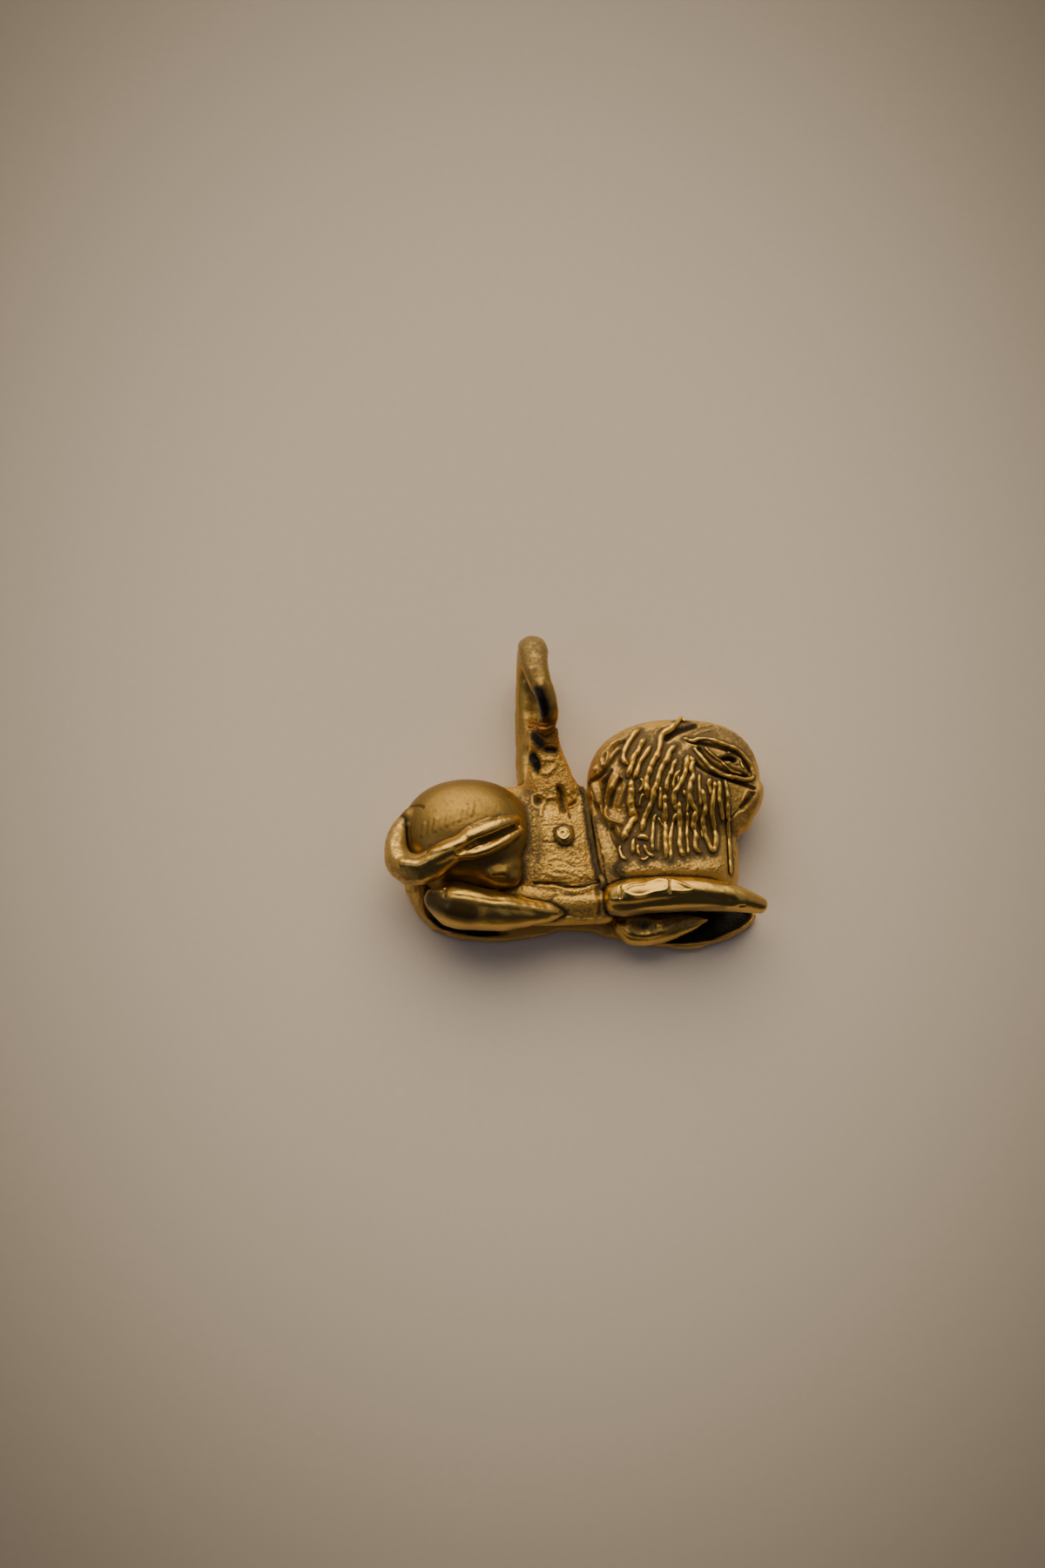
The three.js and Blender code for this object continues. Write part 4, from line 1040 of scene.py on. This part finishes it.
bail = wax("bail", "bail_loop", "bail_bridge", grain=0.26, softening=9)
SOOT_AND_PAINTED_SHADE_SPOTS = [  # the eye between the strands and the gap beside it, black as painted shade, and the cuts at the joint, sooty and painted darker as a painted dark reflection
    ([(617, 797), (620, 805), (622, 812), (622, 816)], 1.5, 1.0),
    ([(605, 788), (609, 796), (613, 804)], 0.6, 0.6),
    ([(611, 843), (617, 846), (624, 851), (623, 857)], 0.4, 0.95),
    ([(613, 871), (617, 878), (619, 884)], 0.6, 0.95),
    ([(627, 861), (636, 862)], 0.4, 0.7),
]
chase(bail, [
    # the fullness of the front strand, the cut at the joint, the braze's wrinkles and grains
    ([(621, 788), (624, 803), (628, 820)], 0.9, 0.5),
    ([(612, 843), (618, 850), (622, 856)], 0.5, -0.4),
    ([(612, 834), (624, 838), (636, 834)], 0.3, 0.12),
    *[([(612, 829 + 4 * k), (624, 832 + 4 * k), (637, 829 + 4 * k)], 0.14, 0.06) for k in range(7)],
    ([(622, 850), (632, 848), (638, 853)], 0.25, 0.2),
    *peppered([(608, 830), (638, 830), (642, 868), (608, 868)], 40, 0.25, 0.12, 21),
])
dented(bail, 2.6, 0.03, 6)
dented(bail, 0.8, 0.008, 50)
# the crown and the lower left strand are painted brown as painted shade
stain(bail, "patina_and_painted_shade", [
    ([(611, 736), (611, 746), (612, 756)], 2.8, 0.5), ([(598, 830), (600, 850), (603, 880)], 1.3, 0.25),
])
stain(bail, "soot_and_painted_shade", SOOT_AND_PAINTED_SHADE_SPOTS)
stain(bail, "flux", [
    ([(612, 832), (636, 832)], 0.9, 0.9),
    ([(612, 845), (636, 846)], 0.9, 0.95),
    ([(614, 858), (638, 858)], 0.7, 0.7),
    ([(637, 812), (637, 826)], 0.6, 0.6),
    ([(606, 898), (630, 897), (648, 893)], 0.7, 0.55),
])
cast(bail, satin_and_shaded, "bail_loop", "bail_bridge")

# Back plate: thin brass sheet that the members are brazed to, left rough. It is dished between its
# rim and the body, and the rim is hammered up and torn.
RIM = 1.2  # mm, height of the turned-up rim
TROUGH = 0.4  # mm, height of the sheet inside it
DISHED = (0.3, 0.6, 2.0, 3.0)  # mm in from the edge: the hollow starts, is deep, rises and ends
PAINTED_SHADE_IN = (0.3, 0.55)  # mm in from the edge, where the painted shade of the hollow starts and is whole
OPEN = (-13.5, -12.4, -7.2, -6.0, 6.4, 7.2)  # mm along the body, where the hollow opens, closes and opens
plate = wax("back_plate", "back_plate", grain=0.43, softening=2)
# the outline of the sheet's upper face, and how far in from it each point of the skin lies
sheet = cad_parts["back_plate"].data
corners = np.array([tuple(v.co / MM) for v in sheet.vertices])
sides = []
for face in sheet.polygons:
    if abs(face.normal.z) < 0.1:
        for a, b in face.edge_keys:
            if min(corners[a][2], corners[b][2]) > corners[:, 2].max() - 0.001:
                sides.append((corners[a][:2], corners[b][:2]))
start = np.array([a for a, _ in sides])
run = np.array([b for _, b in sides]) - start
places, normals = points_of(plate)
inset = np.full(len(places), 99.0)
for a, d in zip(start, run):
    along = np.clip(((places[:, :2] - a) @ d) / (d @ d), 0, 1)
    inset = np.minimum(inset, np.linalg.norm(places[:, :2] - a - along[:, None] * d, axis=1))
top = normals[:, 2] > 0.05
open_here = np.interp(places[:, 0], OPEN, (0, 1, 1, 0, 0, 1))
dish = np.interp(inset, DISHED, (0, 1, 1, 0)) * (RIM - TROUGH) * open_here
places[top, 2] -= np.minimum(dish, places[:, 2] - TROUGH + 0.1)[top]
dented(move_points(plate, places), 1.6, 0.05, 7)
places, _ = points_of(plate)
places[:, 2] = np.maximum(places[:, 2], 0)
move_points(plate, places)
# the hollow between the rim and the body is painted black as painted shade
set_layer(plate, "soot_and_painted_shade", np.interp(inset, PAINTED_SHADE_IN, (0, 1)) * top * open_here)
cast(plate, rough, "back_plate", slot="antiqued_brass")

# Antiquing: the whole figure is darkened in a brown patina and rubbed back with a cloth, so brown
# stays where members meet and in every recess.
CALM_ROUNDS = 14  # how often a skin is evened out to find the level that its recesses lie below
HOLLOW = 0.065  # mm below that level, where a recess stays as brown as the cloth leaves any
HOLLOW_BROWN = 0.8  # how brown that is
CREST_BARE = -0.4  # how much a crest that the cloth reaches loses
JOINT_BROWN = 1.1
JOINT_SOOT = 0.65
JOINT_FADE = 1.6  # how steeply both fade out of a joint
skins = []
for piece, creep in castings:
    places, normals = points_of(piece)
    faces = [tuple(f.vertices) for f in piece.data.polygons]
    skin = BVHTree.FromPolygons((places / MM).tolist(), faces)
    skins.append((piece, creep, places / MM, normals, skin))
for piece, creep, places, normals, _ in skins:
    edges = np.empty(len(piece.data.edges) * 2, np.int32)
    piece.data.edges.foreach_get("vertices", edges)
    one, two = edges.reshape(-1, 2).T
    degree = np.bincount(one, minlength=len(places)) + np.bincount(two, minlength=len(places))
    calm = places.copy()
    for _ in range(CALM_ROUNDS):
        total = np.stack([
            np.bincount(one, calm[two, axis], len(places)) + np.bincount(two, calm[one, axis], len(places))
            for axis in range(3)
        ], axis=1)
        calm = (calm + total / degree[:, None]) / 2
    hollow = ((calm - places) * normals).sum(1) / HOLLOW
    closeness = np.zeros(len(places))
    for other, _, other_places, _, skin in skins:
        if other is piece:
            continue
        other_low, other_high = other_places.min(0) - creep, other_places.max(0) + creep
        inside = np.flatnonzero(np.all((places > other_low) & (places < other_high), axis=1))
        for index in inside:
            gap = skin.find_nearest(places[index], creep)[3]
            if gap is not None:
                closeness[index] = max(closeness[index], (1 - gap / creep) ** JOINT_FADE)
    brown = np.clip(hollow, CREST_BARE, 1) * HOLLOW_BROWN + closeness * JOINT_BROWN
    # the patina layer joins the recess brown, and with it the painted shade that was laid in it
    set_layer(piece, "recess_and_painted_shade", np.clip(brown + layer_of(piece, "patina_and_painted_shade"), 0, 1))
    set_layer(piece, "soot_and_painted_shade", np.maximum(layer_of(piece, "soot_and_painted_shade"), closeness * JOINT_SOOT))
